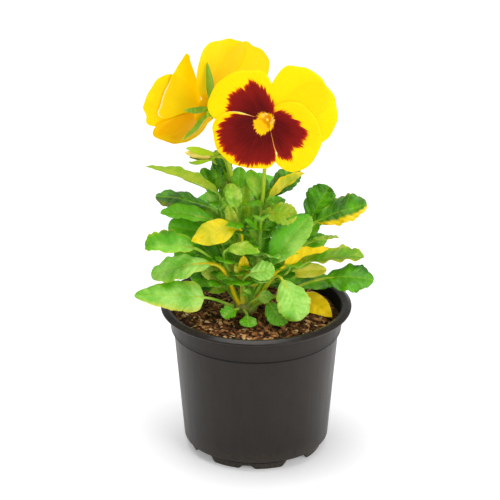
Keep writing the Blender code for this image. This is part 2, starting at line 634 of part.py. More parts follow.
def build_bud(material_green, material_petal, material_stem):
    """A closed bud: rolled petals, five sepals round them and a stalk."""
    centre, right, up, facing = flower_frame((BUD_BASE, BUD_TURN))
    profile = [
        (1.2, 1.0, None, 0),
        (1.6, 0.6, 0.12, 1),
        (1.6, 0.6, 0.4, 1),
        (1.6, 0.6, 0.7, 1),
        (1.6, 0.6, 1.0, 1),
        (2.3, 0.0, 1.0, -1),
        (2.4, 0.0, 0.7, -1),
        (2.4, 0.0, 0.4, -1),
        (2.4, 0.0, 0.12, -1),
        (1.6, -1.6, None, 0),
    ]
    lobe = (1.0, 0.88, 0.08)
    frame = (centre, right, up, facing)
    star("bud_sepals", frame, profile, lobe, BUD_SEPAL_LENGTH, closed_bend, material_green)
    angle = np.linspace(0, 2 * math.pi, 10, endpoint=False)
    heights = [(0.8, 1.4), (1.5, 2.2), (2.2, 4.5), (2.5, 7.5), (2.3, 11.0), (1.5, 14.0)]
    rings = [
        centre + (np.cos(angle)[:, None] * right + np.sin(angle)[:, None] * up) * radius + facing * height
        for radius, height in heights
    ]
    skin("bud_petals", rings, material_petal, start_point=centre + facing * 1.35,
         end_point=centre + facing * 16.0)
    back = centre + facing * (-1.6 - GAP)
    start, out = stem_point("stem_middle", 0.97, STALK_BUD[0])
    line = [start, start + out * 2.5, *STALK_BUD, back]
    tube("stalk_bud", *smooth_line(line, 12), (0.8, 0.8), material_stem)


def build_all():
    """Clears the scene and makes every piece."""
    for old in list(bpy.data.objects):
        bpy.data.objects.remove(old, do_unlink=True)
    black_plastic = make_material("black_plastic", (0.045, 0.041, 0.038), 0.45)
    soil = make_material("potting_soil", (0.16, 0.075, 0.025), 0.95)
    leaf_green = make_material("leaf_green", (0.16, 0.42, 0.035), 0.4)
    leaf_yellow = make_material("leaf_yellow", (0.75, 0.52, 0.01), 0.45)
    stem_green = make_material("stem_green", (0.36, 0.55, 0.06), 0.45)
    petal_yellow = make_material("petal_yellow", (0.95, 0.72, 0.0), 0.5)
    sepal_green = make_material("sepal_green", (0.25, 0.5, 0.08), 0.45)
    root_brown = make_material("root_brown", (0.35, 0.28, 0.1), 0.7)

    build_pot(black_plastic)
    build_soil(soil)
    lathe("root_crown", root_profile(0.0), 16, root_brown, centre=CROWN[:2])
    for name in STEMS:
        line, along, foot, top = stem_line(name, 12)
        tube(name, line, along, (foot, top), stem_green)
    yellow = {"leaf_front_yellow", "leaf_right_yellow"}
    build_leaves(lambda name: leaf_yellow if name in yellow else leaf_green)
    build_fallen_leaf(leaf_yellow)
    materials = {"petal": petal_yellow, "sepal": sepal_green, "stem": stem_green}
    for label, flower, petals, stalk, stem, turn in (
        ("front", FLOWER_FRONT, PETALS_FRONT, STALK_FRONT, "stem_right", 0.0),
        ("rear", FLOWER_REAR, PETALS_REAR, STALK_REAR, "stem_middle", 14.0),
    ):
        line, along = stem_line(stem, 12)[:2]
        start = line[-1] + along[-1] * GAP
        build_flower(label, flower, petals, stalk, start, turn, materials)
    build_bud(sepal_green, petal_yellow, stem_green)


build_all()
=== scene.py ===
# %% [markdown]
# # A potted pansy
# A young pansy stands in a round black nursery pot full of bark soil. The plain solids of the packed
# model say where everything is. In this lesson each of them gets the surface that the real thing has:
# toothed leaves with veins, velvety petals with a dark face, crumbs of soil, and moulded plastic.
# Loading the frame comes first, because every later cell takes its places from it.

import math

import bpy
import numpy as np
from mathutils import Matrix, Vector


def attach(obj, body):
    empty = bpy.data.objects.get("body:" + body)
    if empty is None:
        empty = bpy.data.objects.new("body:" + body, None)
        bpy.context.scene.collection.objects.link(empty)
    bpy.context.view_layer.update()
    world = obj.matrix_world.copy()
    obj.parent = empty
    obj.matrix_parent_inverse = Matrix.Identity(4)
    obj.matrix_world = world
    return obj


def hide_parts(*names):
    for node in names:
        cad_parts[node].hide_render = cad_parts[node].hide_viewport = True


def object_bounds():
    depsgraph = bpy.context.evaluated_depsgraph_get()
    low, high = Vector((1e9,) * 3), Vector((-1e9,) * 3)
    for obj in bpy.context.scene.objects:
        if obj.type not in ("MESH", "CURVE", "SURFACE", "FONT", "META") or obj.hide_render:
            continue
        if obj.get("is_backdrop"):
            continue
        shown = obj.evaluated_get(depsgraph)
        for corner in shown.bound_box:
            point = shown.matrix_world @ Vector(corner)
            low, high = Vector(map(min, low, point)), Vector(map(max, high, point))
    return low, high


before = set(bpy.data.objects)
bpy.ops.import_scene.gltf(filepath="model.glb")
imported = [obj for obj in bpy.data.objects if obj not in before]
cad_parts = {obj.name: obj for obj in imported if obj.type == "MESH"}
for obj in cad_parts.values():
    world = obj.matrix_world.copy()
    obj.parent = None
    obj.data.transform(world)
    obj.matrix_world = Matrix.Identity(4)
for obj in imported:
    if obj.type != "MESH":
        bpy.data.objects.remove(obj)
cad_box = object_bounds()
MM = 0.001


def in_mm(box):
    """The two corners of a box, in millimetres."""
    return [[round(value / MM, 1) for value in corner] for corner in box]


print("plain solids:", len(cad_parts), "box in mm:", in_mm(cad_box))

# %% [markdown]
# ## Stage and camera
# A long lens keeps the pot's sides nearly parallel, as they look from a metre or more away. The camera
# could be aimed by a Track To constraint, but its turn is simple enough to give directly: it looks down by
# its height above the horizon and nothing else.

# %% Set up the camera
scene = bpy.context.scene
scene.view_settings.view_transform = "Standard"
LOOK_DOWN = math.radians(23.5)
DISTANCE = 1.4
AIM = (-0.0034, 0.0, 0.1157)
lens = bpy.data.cameras.new("camera")
lens.lens, lens.sensor_width = 185.1, 36.0
camera = bpy.data.objects.new("camera", lens)
camera.location = (AIM[0], AIM[1] - DISTANCE * math.cos(LOOK_DOWN), AIM[2] + DISTANCE * math.sin(LOOK_DOWN))
camera.rotation_euler = (math.pi / 2 - LOOK_DOWN, 0.0, 0.0)
scene.collection.objects.link(camera)
scene.camera = camera
print("camera", round(DISTANCE, 2), "m away,", round(math.degrees(LOOK_DOWN), 1), "degrees above the horizon")

# %% [markdown]
# Light comes from all round, from one large soft light above, and from three weaker ones in front and at
# the right. They are area lights, whose size in metres says how soft a shadow is. Even light needs shader
# nodes, so the two helpers that place and wire nodes come here.

# %% Light the stage
def plug(owner, inputs):
    """Gives the sockets of a node values, or links them where the value is a socket or holds one."""
    for key, value in inputs.items():
        value = getattr(value, "socket", value)
        if isinstance(value, bpy.types.NodeSocket):
            owner.id_data.links.new(value, owner.inputs[key])
        else:
            owner.inputs[key].default_value = value


def node(tree, kind, inputs=None, **settings):
    """A new shader node with its settings, and with its inputs plugged."""
    made = tree.nodes.new(kind)
    for key, value in settings.items():
        setattr(made, key, value)
    plug(made, inputs or {})
    return made


world = bpy.data.worlds.new("even_light")
world.use_nodes = True
sky = world.node_tree
sky.nodes.clear()
room = node(sky, "ShaderNodeBackground", {"Color": (1.0, 1.0, 1.0, 1.0), "Strength": 0.46})
node(sky, "ShaderNodeOutputWorld", {"Surface": room.outputs[0]})
scene.world = world


def add_softbox(name, place, aim, size, power):
    """A square light at `place` that faces `aim`, in metres and watts."""
    light = bpy.data.lights.new(name, "AREA")
    light.size, light.energy = size, power
    box = bpy.data.objects.new(name, light)
    box.location = place
    away = np.subtract(place, aim)
    flat = math.hypot(away[0], away[1])
    box.rotation_euler = (math.atan2(flat, away[2]), 0.0, math.atan2(away[1], away[0]) + math.pi / 2)
    scene.collection.objects.link(box)


add_softbox("softbox_top", (-0.10, 0.05, 1.7), (0.0, 0.0, 0.1), 1.1, 16.5)
add_softbox("softbox_front_left", (-0.85, -0.9, 0.75), (0.0, 0.0, 0.15), 0.7, 0.4)
add_softbox("softbox_front_right", (0.75, -0.95, 0.65), (0.0, 0.0, 0.17), 0.6, 4.8)
add_softbox("softbox_right", (0.95, -0.25, 0.35), (0.0, 0.0, 0.12), 0.5, 1.4)
print("lights:", [light.name for light in bpy.data.lights])

# %% [markdown]
# ## Tools for surfaces
# Every new piece is a surface worked out with numpy: a grid of points that is a function of two numbers.
# Points are in millimetres here and become metres when the mesh is made. Modelling by hand with the
# sculpt tools could give the same leaves, but a formula can be tried again with other values in seconds.

# %% Directions and smooth lines
def unit(vector):
    """The vector, or each row of vectors, at length 1."""
    vector = np.asarray(vector, float)
    return vector / np.linalg.norm(vector, axis=-1, keepdims=True)


def aimed(turn, lift):
    """The direction turned from the front (-Y) toward the right and lifted, in degrees."""
    turn, lift = math.radians(turn), math.radians(lift)
    return np.array([math.sin(turn) * math.cos(lift), -math.cos(turn) * math.cos(lift), math.sin(lift)])


def circle(count):
    """The angles of `count` points spread evenly round a circle."""
    return np.linspace(0, 2 * math.pi, count, endpoint=False)


def at_angle(right, up, degrees):
    """The direction at an angle in the plane of two directions, from `right` toward `up`."""
    return math.cos(math.radians(degrees)) * right + math.sin(math.radians(degrees)) * up


def hermite(start, slope_in, stop, slope_out, share):
    """A cubic curve with given ends and end slopes: its point and its slope at each share from 0 to 1."""
    s = share
    point = ((2 * s**3 - 3 * s**2 + 1) * start + (s**3 - 2 * s**2 + s) * slope_in
             + (3 * s**2 - 2 * s**3) * stop + (s**3 - s**2) * slope_out)
    slope = ((6 * s**2 - 6 * s) * start + (3 * s**2 - 4 * s + 1) * slope_in
             + (6 * s - 6 * s**2) * stop + (3 * s**2 - 2 * s) * slope_out)
    return point, slope


def smooth_line(points, count):
    """Points and directions along a line that passes smoothly through the given points.

    Between two points it is a cubic whose end slopes are half the step from the point before to the
    point after.
    """
    points = np.asarray(points, float)
    ends = np.vstack([2 * points[0] - points[1], points, 2 * points[-1] - points[-2]])
    place = np.linspace(0, len(points) - 1, count)
    piece = np.minimum(place.astype(int), len(points) - 2)
    before, start, stop, after = (ends[piece + shift] for shift in range(4))
    line, slope = hermite(start, (stop - before) / 2, stop, (after - start) / 2, (place - piece)[:, None])
    return line, unit(slope)


WAVES = 12


def rumple(points, size, seed):
    """A smooth random height, mostly from -1 to 1: twice the mean of sine waves about `size` mm long."""
    rng = np.random.default_rng(seed)
    waves = unit(rng.normal(size=(WAVES, 3))).T * rng.uniform(0.7, 1.5, WAVES) * 2 * math.pi / size
    return np.sin(points @ waves + rng.uniform(0, 2 * math.pi, WAVES)).mean(axis=-1) * 2.0


def ease(value, low, high):
    """0 below `low`, 1 above `high`, and 3t^2 - 2t^3 between them."""
    t = np.clip((value - low) / (high - low), 0, 1)
    return t * t * (3 - 2 * t)


print("half way along a test line:", smooth_line([(0, 0, 0), (0, 0, 10), (10, 0, 20)], 3)[0][1])

# %% [markdown]
# A surface here is a dictionary: points, faces with four corners each, a UV pair for each point, and
# named marks, which become attributes that the materials read. A repeated last corner makes a triangle.
# Two grids back to back with a wall round them make a closed sheet, and rings with two end points make a
# closed tube. The sign of the volume tells which way the faces point.

# %% Sheets and tubes
def sheet_faces(rows, columns):
    """Quads of a closed sheet: a grid of points, the same grid underneath, and the wall round the edge."""
    index = np.arange(rows * columns).reshape(rows, columns)
    top = np.stack([index[:-1, :-1], index[:-1, 1:], index[1:, 1:], index[1:, :-1]], -1).reshape(-1, 4)
    edge = np.concatenate([index[0, :-1], index[:-1, -1], index[-1, :0:-1], index[:0:-1, 0]])
    under = index.size
    wall = np.stack([np.roll(edge, -1), edge, edge + under, np.roll(edge, -1) + under], -1)
    return np.concatenate([top, top[:, ::-1] + under, wall])


def tube_faces(rows, around):
    """Quads from ring to ring, and a fan of triangles to the end points that come after the rings."""
    ring = np.arange(rows * around).reshape(rows, around)
    after = np.roll(ring, -1, axis=1)
    wall = np.stack([ring[:-1], after[:-1], after[1:], ring[1:]], -1).reshape(-1, 4)
    first, last = np.full(around, ring.size), np.full(around, ring.size + 1)
    return np.concatenate([wall, np.stack([after[0], ring[0], first, first], -1),
                           np.stack([ring[-1], after[-1], last, last], -1)])


def surface(points, faces, uv, **marks):
    """A closed surface whose faces point outward, with its marks spread over all its points."""
    points = np.asarray(points, float).reshape(-1, 3)
    a, b, c, d = (points[faces[:, corner]] for corner in range(4))
    if (a * (np.cross(b, c) + np.cross(c, d))).sum() < 0:
        faces = faces[:, [1, 0, 3, 2]]
    shape = {"points": points, "faces": faces, "uv": np.broadcast_to(uv, (len(points), 2))}
    shape.update({key: np.broadcast_to(np.ravel(mark), len(points)) for key, mark in marks.items()})
    return shape


def join(surfaces):
    """One surface from several: their points in a row, with each one's corners counted on."""
    first = np.cumsum([0] + [len(shape["points"]) for shape in surfaces])
    names = set().union(*surfaces) - {"faces"}
    joined = {name: np.concatenate([shape.get(name, np.zeros(len(shape["points"]))) for shape in surfaces])
              for name in names}
    joined["faces"] = np.concatenate([shape["faces"] + start for shape, start in zip(surfaces, first)])
    return joined


def tube(line, along, side, radius, around=14, uv=(0.5, 0.5), **marks):
    """A closed tube round a line: its radius times cos and sin of the angle, in the plane of each ring.

    There is one radius for each ring, or one for each point of each ring.
    """
    angle = circle(around)[None, :, None]
    radius = np.asarray(radius, float)
    radius = radius[:, None, None] if radius.ndim == 1 else radius[:, :, None]
    outward = np.cos(angle) * side[:, None] + np.sin(angle) * np.cross(along, side)[:, None]
    rings = line[:, None] + radius * outward
    ends = line[[0, -1]] + along[[0, -1]] * radius[[0, -1], :1].mean(axis=1) * np.array([[-0.5], [0.5]])
    return surface(np.vstack([rings.reshape(-1, 3), ends]), tube_faces(len(line), around), uv, **marks)


print("a 3 by 4 sheet has", len(sheet_faces(3, 4)), "faces")

# %% [markdown]
# A surface becomes a mesh object here. Adding vertices one by one in a loop would be slow, so foreach_set
# hands whole arrays to Blender at once. The corners that stand double in a triangle are left out.

# %% From a surface to a piece
def grow(name, shape, material, slot, *nodes, sharp=50):
    """Makes the mesh object of a surface, rides it on the plant's body and hides the solids it stands for."""
    faces, marks = shape["faces"], set(shape) - {"points", "faces", "uv"}
    kept = np.ones(faces.shape, bool)
    kept[:, 3] = faces[:, 2] != faces[:, 3]
    corners, sides = faces[kept].astype(np.int32), kept.sum(axis=1)
    mesh = bpy.data.meshes.new(name)
    mesh.vertices.add(len(shape["points"]))
    mesh.vertices.foreach_set("co", (shape["points"] * MM).astype(np.float32).ravel())
    mesh.loops.add(len(corners))
    mesh.loops.foreach_set("vertex_index", corners)
    mesh.polygons.add(len(faces))
    mesh.polygons.foreach_set("loop_start", (np.cumsum(sides) - sides).astype(np.int32))
    mesh.update(calc_edges=True)
    mesh.uv_layers.new(name="UVMap").data.foreach_set("uv", shape["uv"][corners].astype(np.float32).ravel())
    for mark in sorted(marks):
        mesh.attributes.new(mark, "FLOAT", "POINT").data.foreach_set("value", shape[mark].astype(np.float32))
    mesh.shade_smooth()
    mesh.set_sharp_from_angle(angle=math.radians(sharp))
    mesh.materials.append(material)
    piece = bpy.data.objects.new(name, mesh)
    scene.collection.objects.link(piece)
    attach(piece, "root")
    if nodes:
        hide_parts(*nodes)
    print(f"{name}: {len(faces)} faces")
    return piece


print("a piece has a mesh, its marks and UVs, a finish, a body and the solids it stands for")

# %% [markdown]
# ## The blade
# Leaves, stipules and sepals are all the same idea: a thin sheet on both sides of a rib. Its outline is
# a power curve, its edge is cut into rounded teeth, each half leans up and curls, and the flesh between
# the veins bulges. Solidify could give it thickness, but two offset grids let the edge thin out.

# %% Shape a blade
def blade_line(knee, tip, face, arch, share):
    """The rib from knee to tip, bowed by `arch` mm toward the way that the upper face looks."""
    chord = tip - knee
    bulge = 4 * arch * unit(face - chord * (face @ chord) / (chord @ chord))
    line, slope = hermite(knee, chord + bulge, tip, chord - bulge, share[:, None])
    along = unit(slope)
    return line, along, unit(face - along * (along @ face)[:, None])


FLAT = 1e-4  # A bend in radians too small to see, which keeps the arc's formula from dividing by 0.


def blade(knee, tip, face, width, arch=1.0, fold=6.0, point=0.5, curl=0.0, twist=None, wave=0.9, teeth=6,
          tooth=0.1, quilt=0.7, foot=0.8, thick=0.4, seed=0, rows=52, columns=22, tone=0.5, yellow=0.0,
          margin=0.0, base=0.65, lopsided=0.0, edge=0.0):
    """A closed leaf blade.

    Half width = width / 2 times u^base (1-u)^point over its own peak, less a bite of tooth (1 - |sin|^0.7)
    between two teeth. Veins, bulges and teeth count along u less a slant, so that they point forward.
    Across, the angle of the surface runs from `fold` at the rib to `fold + curl` at the edge, so a half is
    an arc: y = (sin b - sin a) / (b - a), z = (cos a - cos b) / (b - a). The yellow of a leaf that turns
    is even, plus `margin` toward both edges, plus `edge` on one half: seen from the foot, the left one
    where `edge` is above 0 and the right one where it is below.
    """
    knee, tip, face = (np.asarray(value, float) for value in (knee, tip, face))
    u = 0.5 - 0.5 * np.cos(np.pi * np.linspace(0.06, 0.985, rows))
    u = (u - u[0]) / (u[-1] - u[0]) * 0.995
    line, along, up = blade_line(knee, tip, face, arch, u)
    side = np.cross(up, along)
    turn = np.radians(12 * math.sin(2.4 * seed) if twist is None else twist) * u[:, None]
    up, side = up * np.cos(turn) + side * np.sin(turn), side * np.cos(turn) - up * np.sin(turn)
    peak = base / (base + point)
    outline = width / 2 * u**base * (1 - u) ** point / (peak**base * (1 - peak) ** point)
    slant = 0.6 * outline / np.linalg.norm(tip - knee)
    bite = tooth * ease(u, 0.06, 0.2) * (1 - np.abs(np.sin(np.pi * teeth * (u - slant))) ** 0.7)
    half = np.maximum(outline * (1 - bite), foot * (1 - u) + 0.12)[:, None]
    v = np.sin(np.linspace(-np.pi / 2, np.pi / 2, columns))[None, :]
    s = np.abs(v)
    a, turned = math.radians(fold), math.radians(curl) or FLAT
    b = a + turned * s
    y = (np.sin(b) - math.sin(a)) / turned * half
    z = (math.cos(a) - np.cos(b)) / turned * half
    phase = 1.7 * seed + 2.1 * (v > 0)
    vein = teeth * (u[:, None] - slant[:, None] * s)
    bulge = np.abs(np.sin(np.pi * vein)) ** 0.8 * np.sin(np.pi * s) ** 0.7
    fade = ease(u, 0.0, 0.15)[:, None] * ease(1 - u, 0.0, 0.1)[:, None]
    waving = wave * width / 18 * s**2.5 * np.sin(np.pi * teeth * 0.9 * u[:, None] + phase)
    z = z + fade * (quilt * bulge + waving)
    z = z - quilt * 0.9 * np.exp(-((s * half / 0.55) ** 2)) * fade
    ahead = 0.30 * s * half * (1 - u)[:, None]
    middle = line[:, None] + along[:, None] * ahead[..., None] + side[:, None] * (np.sign(v) * y)[..., None]
    z = z + 0.6 * fade * rumple(middle, 12.0, seed)
    middle = middle + up[:, None] * z[..., None]
    normal = side[:, None] * (-np.sin(b) * np.sign(v))[..., None] + up[:, None] * np.cos(b)[..., None]
    depth = thick / 2 * (1 - 0.7 * s**2) * np.ones_like(half)
    ridge = 0.5 * (1 - u[:, None]) ** 0.7 * np.exp(-((s * half / 0.6) ** 2))
    top, bottom = middle + normal * depth[..., None], middle - normal * (depth + ridge)[..., None]
    uv = np.stack(np.broadcast_arrays(vein, v), -1).reshape(-1, 2)
    patchy = 0.12 * rumple(middle, 14.0, seed + 50)
    # Painted light and shade: the tone rises across the blade from one half to the other, so that one half
    # looks lit and the other shaded, like the two sides of a fold. The rest of the tone is the leaf's own
    # colour.
    marks = {
        "rib": np.broadcast_to(v * half, z.shape),
        "tone": tone + lopsided * v + patchy + 0.10 * (1 - s) - 0.08 * u[:, None],
        "yellow": yellow + margin * s**4 * np.ones_like(half) + yellow * patchy
        + abs(edge) * ease(v * np.sign(edge), 0.35, 0.8),
    }
    marks = {key: np.tile(mark.ravel(), 2) for key, mark in marks.items()}
    marks["under"] = np.repeat([0.0, 1.0], z.size)
    points = np.concatenate([top.reshape(-1, 3), bottom.reshape(-1, 3)])
    return surface(points, sheet_faces(*z.shape), np.tile(uv, (2, 1)), **marks)


print("a test blade has", len(blade((0, 0, 0), (0, 30, 0), (0, 0, 1), 18)["points"]), "points")

# %% [markdown]
# A leaf hangs on its stalk. The stalk is a tube with a shallow channel along its upper side, and it runs
# on under the blade as the first part of the midrib, so no seam shows where the two meet.

# %% Shape a whole leaf
STALK_ROWS, RIB_ROWS = 21, 10
NO_RIB = 9.0  # Too far from any midrib, in mm, for veins to be drawn.


def carried(up, along):
    """The blade's upward direction carried back along the stalk, ring by ring, so that it never flips."""
    ups = [up]
    for direction in along[::-1]:
        ups.append(unit(ups[-1] - direction * (ups[-1] @ direction)))
    return np.array(ups[:0:-1])


def leaf(start, out, knee, tip, face, width, arch, fold, point, stalk=0.95, stalk_tone=0.72,
         stalk_yellow=0.25, sides=12, **look):
    """A stalk from `start`, leaving in the direction `out`, that bends into a blade from knee to tip."""
    start, knee, tip, face = (np.asarray(value, float) for value in (start, knee, tip, face))
    reach = np.linalg.norm(knee - start)
    first = blade_line(knee, tip, face, arch, np.array([0.0]))
    chord_slope = first[1][0] * reach
    share = np.linspace(0, 1, STALK_ROWS + 1)[:-1, None]
    bend, slope = hermite(start, out * reach * 0.7, knee, chord_slope, share)
    rib = blade_line(knee, tip, face, arch, np.linspace(0.0, 0.45, RIB_ROWS))
    line, along = np.vstack([bend, rib[0]]), np.vstack([unit(slope), rib[1]])
    up = np.vstack([carried(rib[2][0], along[:STALK_ROWS]), rib[2]])
    side = np.cross(up, along)
    run = np.concatenate([np.linspace(0, 1, STALK_ROWS), np.linspace(1, 2, RIB_ROWS)])
    thick = np.interp(run, [0, 0.12, 1, 2], [1.3 * stalk, stalk, 0.8 * stalk, 0.3])
    line = line - up * (thick * 0.55 * np.clip(run - 0.8, 0, 1) / 1.2)[:, None]
    channel = 1 - 0.3 * np.exp(-(((circle(sides) - math.pi / 2) / 0.5) ** 2))
    marks = dict(tone=stalk_tone, yellow=stalk_yellow, rib=NO_RIB)
    stem = tube(line, along, side, thick[:, None] * channel, around=sides, **marks)
    return join([stem, blade(knee, tip, face, width, arch, fold, point, **look)])


test = leaf((0, 0, 0), aimed(0, 90), (0, 5, 20), (0, 30, 25), (0, 0, 1), 15, 1, 6, 0.5)
print("a test leaf has", len(test["faces"]), "faces")

# %% [markdown]
# ## Masks and colours
# A finish is worked out by many small shader nodes. Wiring each by hand hides what they do, so a mask, the
# number that one node gives out at each point of a surface, gets a class of its own: adding, multiplying
# or stretching masks places the nodes for it, and a finish then reads like a formula.

# %% Masks and layers of colour
class Mask:
    """A number at each point of a surface: the output of a shader node."""

    def __init__(self, socket):
        self.socket, self.tree = socket, socket.id_data

    def step(self, operation, *values):
        """The result of one Math node."""
        values = dict(enumerate((self, *values)))
        return Mask(node(self.tree, "ShaderNodeMath", values, operation=operation).outputs[0])

    def __add__(self, other):
        return self.step("ADD", other)

    def __mul__(self, other):
        return self.step("MULTIPLY", other)

    def span(self, low, high):
        """A number that runs from `low` to `high` as the mask runs from 0 to 1."""
        return self.step("MULTIPLY_ADD", high - low, low)

    def rise(self, low, high):
        """0 where the mask is `low` and 1 where it is `high`, and smooth between them, either way round."""
        made = node(self.tree, "ShaderNodeMapRange", {"Value": self, "From Min": low, "From Max": high},
                    interpolation_type="SMOOTHSTEP")
        return Mask(made.outputs[0])


def layers(base, *coats):
    """A colour with others laid over it in turn. Each coat is the mask of its share, and its colour."""
    for share, coat in coats:
        first, second = ((*colour, 1.0) if isinstance(colour, tuple) else colour for colour in (base, coat))
        made = node(share.tree, "ShaderNodeMix", {0: share, 6: first, 7: second}, data_type="RGBA")
        base = made.outputs[2]
    return base


def stretched(place, scale, turn=(0.0, 0.0, 0.0)):
    """The place on the piece, turned and scaled, so that what is drawn on it is stretched."""
    made = node(place.id_data, "ShaderNodeMapping", {"Vector": place, "Rotation": turn, "Scale": scale})
    return made.outputs[0]


def blotches(place, size, detail=3.0, rough=0.55):
    """A noise from 0 to 1 whose patches are about `size` mm across, on coordinates in metres."""
    made = node(place.id_data, "ShaderNodeTexNoise",
                {"Vector": place, "Scale": 1.0 / (size * MM), "Detail": detail, "Roughness": rough})
    return Mask(made.outputs["Fac"])


print("a mask can do:", [name for name in vars(Mask) if name[0] != "_"])

# %% [markdown]
# ## Shared effects
# Three effects return in the finishes: soft patches of light and dark, the veins of a leaf, and the fine
# rays that run out along a petal. Each is a node group that is built once. A group gives out only masks,
# and the shader that uses them stays in the material.

# %% Build the shared node groups
def new_group(name, **inputs):
    """An empty node group and its input sockets: None stands for a vector, a number is a default."""
    tree = bpy.data.node_groups.new(name, "ShaderNodeTree")
    for title, value in inputs.items():
        kind = "NodeSocketVector" if value is None else "NodeSocketFloat"
        made = tree.interface.new_socket(name=title, in_out="INPUT", socket_type=kind)
        if value is not None:
            made.default_value = value
    return tree, tree.nodes.new("NodeGroupInput").outputs


def give_out(tree, **masks):
    """Gives a node group its outputs, each fed by a mask."""
    for title in masks:
        tree.interface.new_socket(name=title, in_out="OUTPUT", socket_type="NodeSocketFloat")
    node(tree, "NodeGroupOutput", masks)


patches, taken = new_group("soft_patches", Vector=None)
give_out(patches, Large=blotches(taken["Vector"], 9.0).rise(0.3, 0.7),
         Small=blotches(taken["Vector"], 1.6).rise(0.25, 0.75))

veins, taken = new_group("leaf_veins", UV=None, Rib=9.0, Vector=None)
CELL = 1.5 * MM
bent = blotches(taken["Vector"], 5.0, 2.0).span(-0.08, 0.08)
split = node(veins, "ShaderNodeSeparateXYZ", {0: taken["UV"]}).outputs
off_vein = (Mask(split[0]) + bent).step("PINGPONG", 0.5)
lateral = off_vein.rise(Mask(split[1]).step("ABSOLUTE").span(0.075, 0.030), 0.0)
from_rib = Mask(taken["Rib"]).step("ABSOLUTE")
cells = node(veins, "ShaderNodeTexVoronoi", {"Vector": taken["Vector"], "Scale": 1.0 / CELL},
             feature="DISTANCE_TO_EDGE")
net = Mask(cells.outputs["Distance"]).rise(0.10, 0.0)
give_out(veins, Vein=lateral.step("MAXIMUM", from_rib.rise(0.75, 0.2)), Net=net * from_rib.rise(8.9, 8.0))

rays, taken = new_group("petal_rays", UV=None, Count=40.0)


def ray_noise(across, length):
    """Rays from a noise on the UV, `across` times as many as the count, and `length` times along them."""
    stretch = node(rays, "ShaderNodeCombineXYZ", {0: Mask(taken["Count"]) * across, 1: length, 2: 1.0})
    laid = node(rays, "ShaderNodeVectorMath", {0: taken["UV"], 1: stretch.outputs[0]}, operation="MULTIPLY")
    drawn = node(rays, "ShaderNodeTexNoise", {"Vector": laid.outputs[0], "Scale": 1.0, "Detail": 3.0})
    return Mask(drawn.outputs["Fac"]).rise(0.3, 0.7)


give_out(rays, Broad=ray_noise(1.0, 2.2), Fine=ray_noise(2.6, 3.5))
print("groups:", [group.name for group in bpy.data.node_groups])

# %% [markdown]
# ## Finishes
# Every finish starts from one Principled shader. Values that are the same all over, such as specular level
# or subsurface, are set on its own sockets, and only colour, roughness and bumps are driven by masks.

# %% Helpers for a finish
BUMP_STRENGTH = 0.6


def new_finish(name, **steady):
    """A material with one Principled shader. `steady` sets sockets, with _ for a space in their names."""
    finish = bpy.data.materials.new(name)
    finish.use_nodes = True
    shader = finish.node_tree.nodes["Principled BSDF"]
    plug(shader, {title.replace("_", " "): value for title, value in steady.items()})
    return finish, finish.node_tree, shader


def use_group(tree, group, **inputs):
    """A shared effect placed in a material: its masks, by name."""
    placed = node(tree, "ShaderNodeGroup", inputs, node_tree=group)
    return {output.name: Mask(output) for output in placed.outputs}


def mark_of(tree, name):
    """A number that the mesh carries at each point."""
    return Mask(node(tree, "ShaderNodeAttribute", attribute_name=name).outputs["Fac"])


def place_of(tree, kind="Object"):
    """The place on the piece, as Object coordinates in metres or as its UV."""
    return node(tree, "ShaderNodeTexCoord").outputs[kind]


def finish_with(shader, colour, roughness, height=None, relief=0.3):
    """Joins colour, roughness and a bump of `relief` mm to the shader."""
    plug(shader, {"Base Color": colour, "Roughness": roughness})
    if height is not None:
        bump = node(shader.id_data, "ShaderNodeBump",
                    {"Height": height, "Strength": BUMP_STRENGTH, "Distance": relief * MM})
        plug(shader, {"Normal": bump.outputs[0]})


print("bumps are used at strength", BUMP_STRENGTH)

# %% [markdown]
# The upper side of a leaf is glossy and a deep green that pales toward the veins and in young leaves. The
# underside is duller and greyer. The marks `tone`, `yellow` and `under` say which of these a point is, so
# one finish serves every green leaf, and a second one the leaves that have turned. `tone` also carries
# painted light and shade: on some leaves one half is made lighter and the other darker, like the lit and
# the shaded side of a fold. A thin blade also lets light through, more so when it is yellow. A translucent
# shader mixed in could do that. Here a weak glow in the leaf's own colour stands in for it, so that one
# Principled shader is enough.

# %% Leaf finishes
VEIN, NET_VEIN, UNDERSIDE = (0.42, 0.68, 0.02), (0.30, 0.58, 0.04), (0.27, 0.45, 0.035)
TURNING, TURNED = (0.96, 0.66, 0.0), (1.0, 0.68, 0.0)


def leaf_finish(name, dark, middle, light, gloss=0.33, through=0.04):
    """Green or yellow leaf skin: three greens by tone, paler veins, a dull underside and old yellow.

    `gloss` is its roughness, and `through` the strength of its glow.
    """
    finish, tree, shader = new_finish(
        name, Subsurface_Weight=0.12, Subsurface_Scale=0.002, Subsurface_Radius=(0.5, 1.0, 0.2),
        Specular_IOR_Level=0.42, Emission_Strength=through)
    place, under = place_of(tree), mark_of(tree, "under")
    soft = use_group(tree, patches, Vector=place)
    vein = use_group(tree, veins, UV=place_of(tree, "UV"), Rib=mark_of(tree, "rib"), Vector=place)
    tone = mark_of(tree, "tone") + soft["Large"].span(-0.10, 0.10) + soft["Small"].span(-0.05, 0.05)
    turn = mark_of(tree, "yellow") + soft["Large"].span(-0.08, 0.08)
    colour = layers(dark, (tone.rise(0.0, 0.5), middle), (tone.rise(0.5, 1.0), light),
                    (vein["Vein"] * 0.26, VEIN), (vein["Net"] * 0.12, NET_VEIN), (under * 0.55, UNDERSIDE),
                    (turn.rise(0.05, 0.95), TURNING), (turn.rise(1.2, 1.6), TURNED))
    plug(shader, {"Emission Color": colour})
    rough = soft["Small"].span(gloss - 0.04, gloss + 0.06) + under * 0.2
    height = vein["Vein"] * -0.6 + vein["Net"] * -0.25 + soft["Small"] * 0.25
    finish_with(shader, colour, rough, height, 0.4)
    return finish


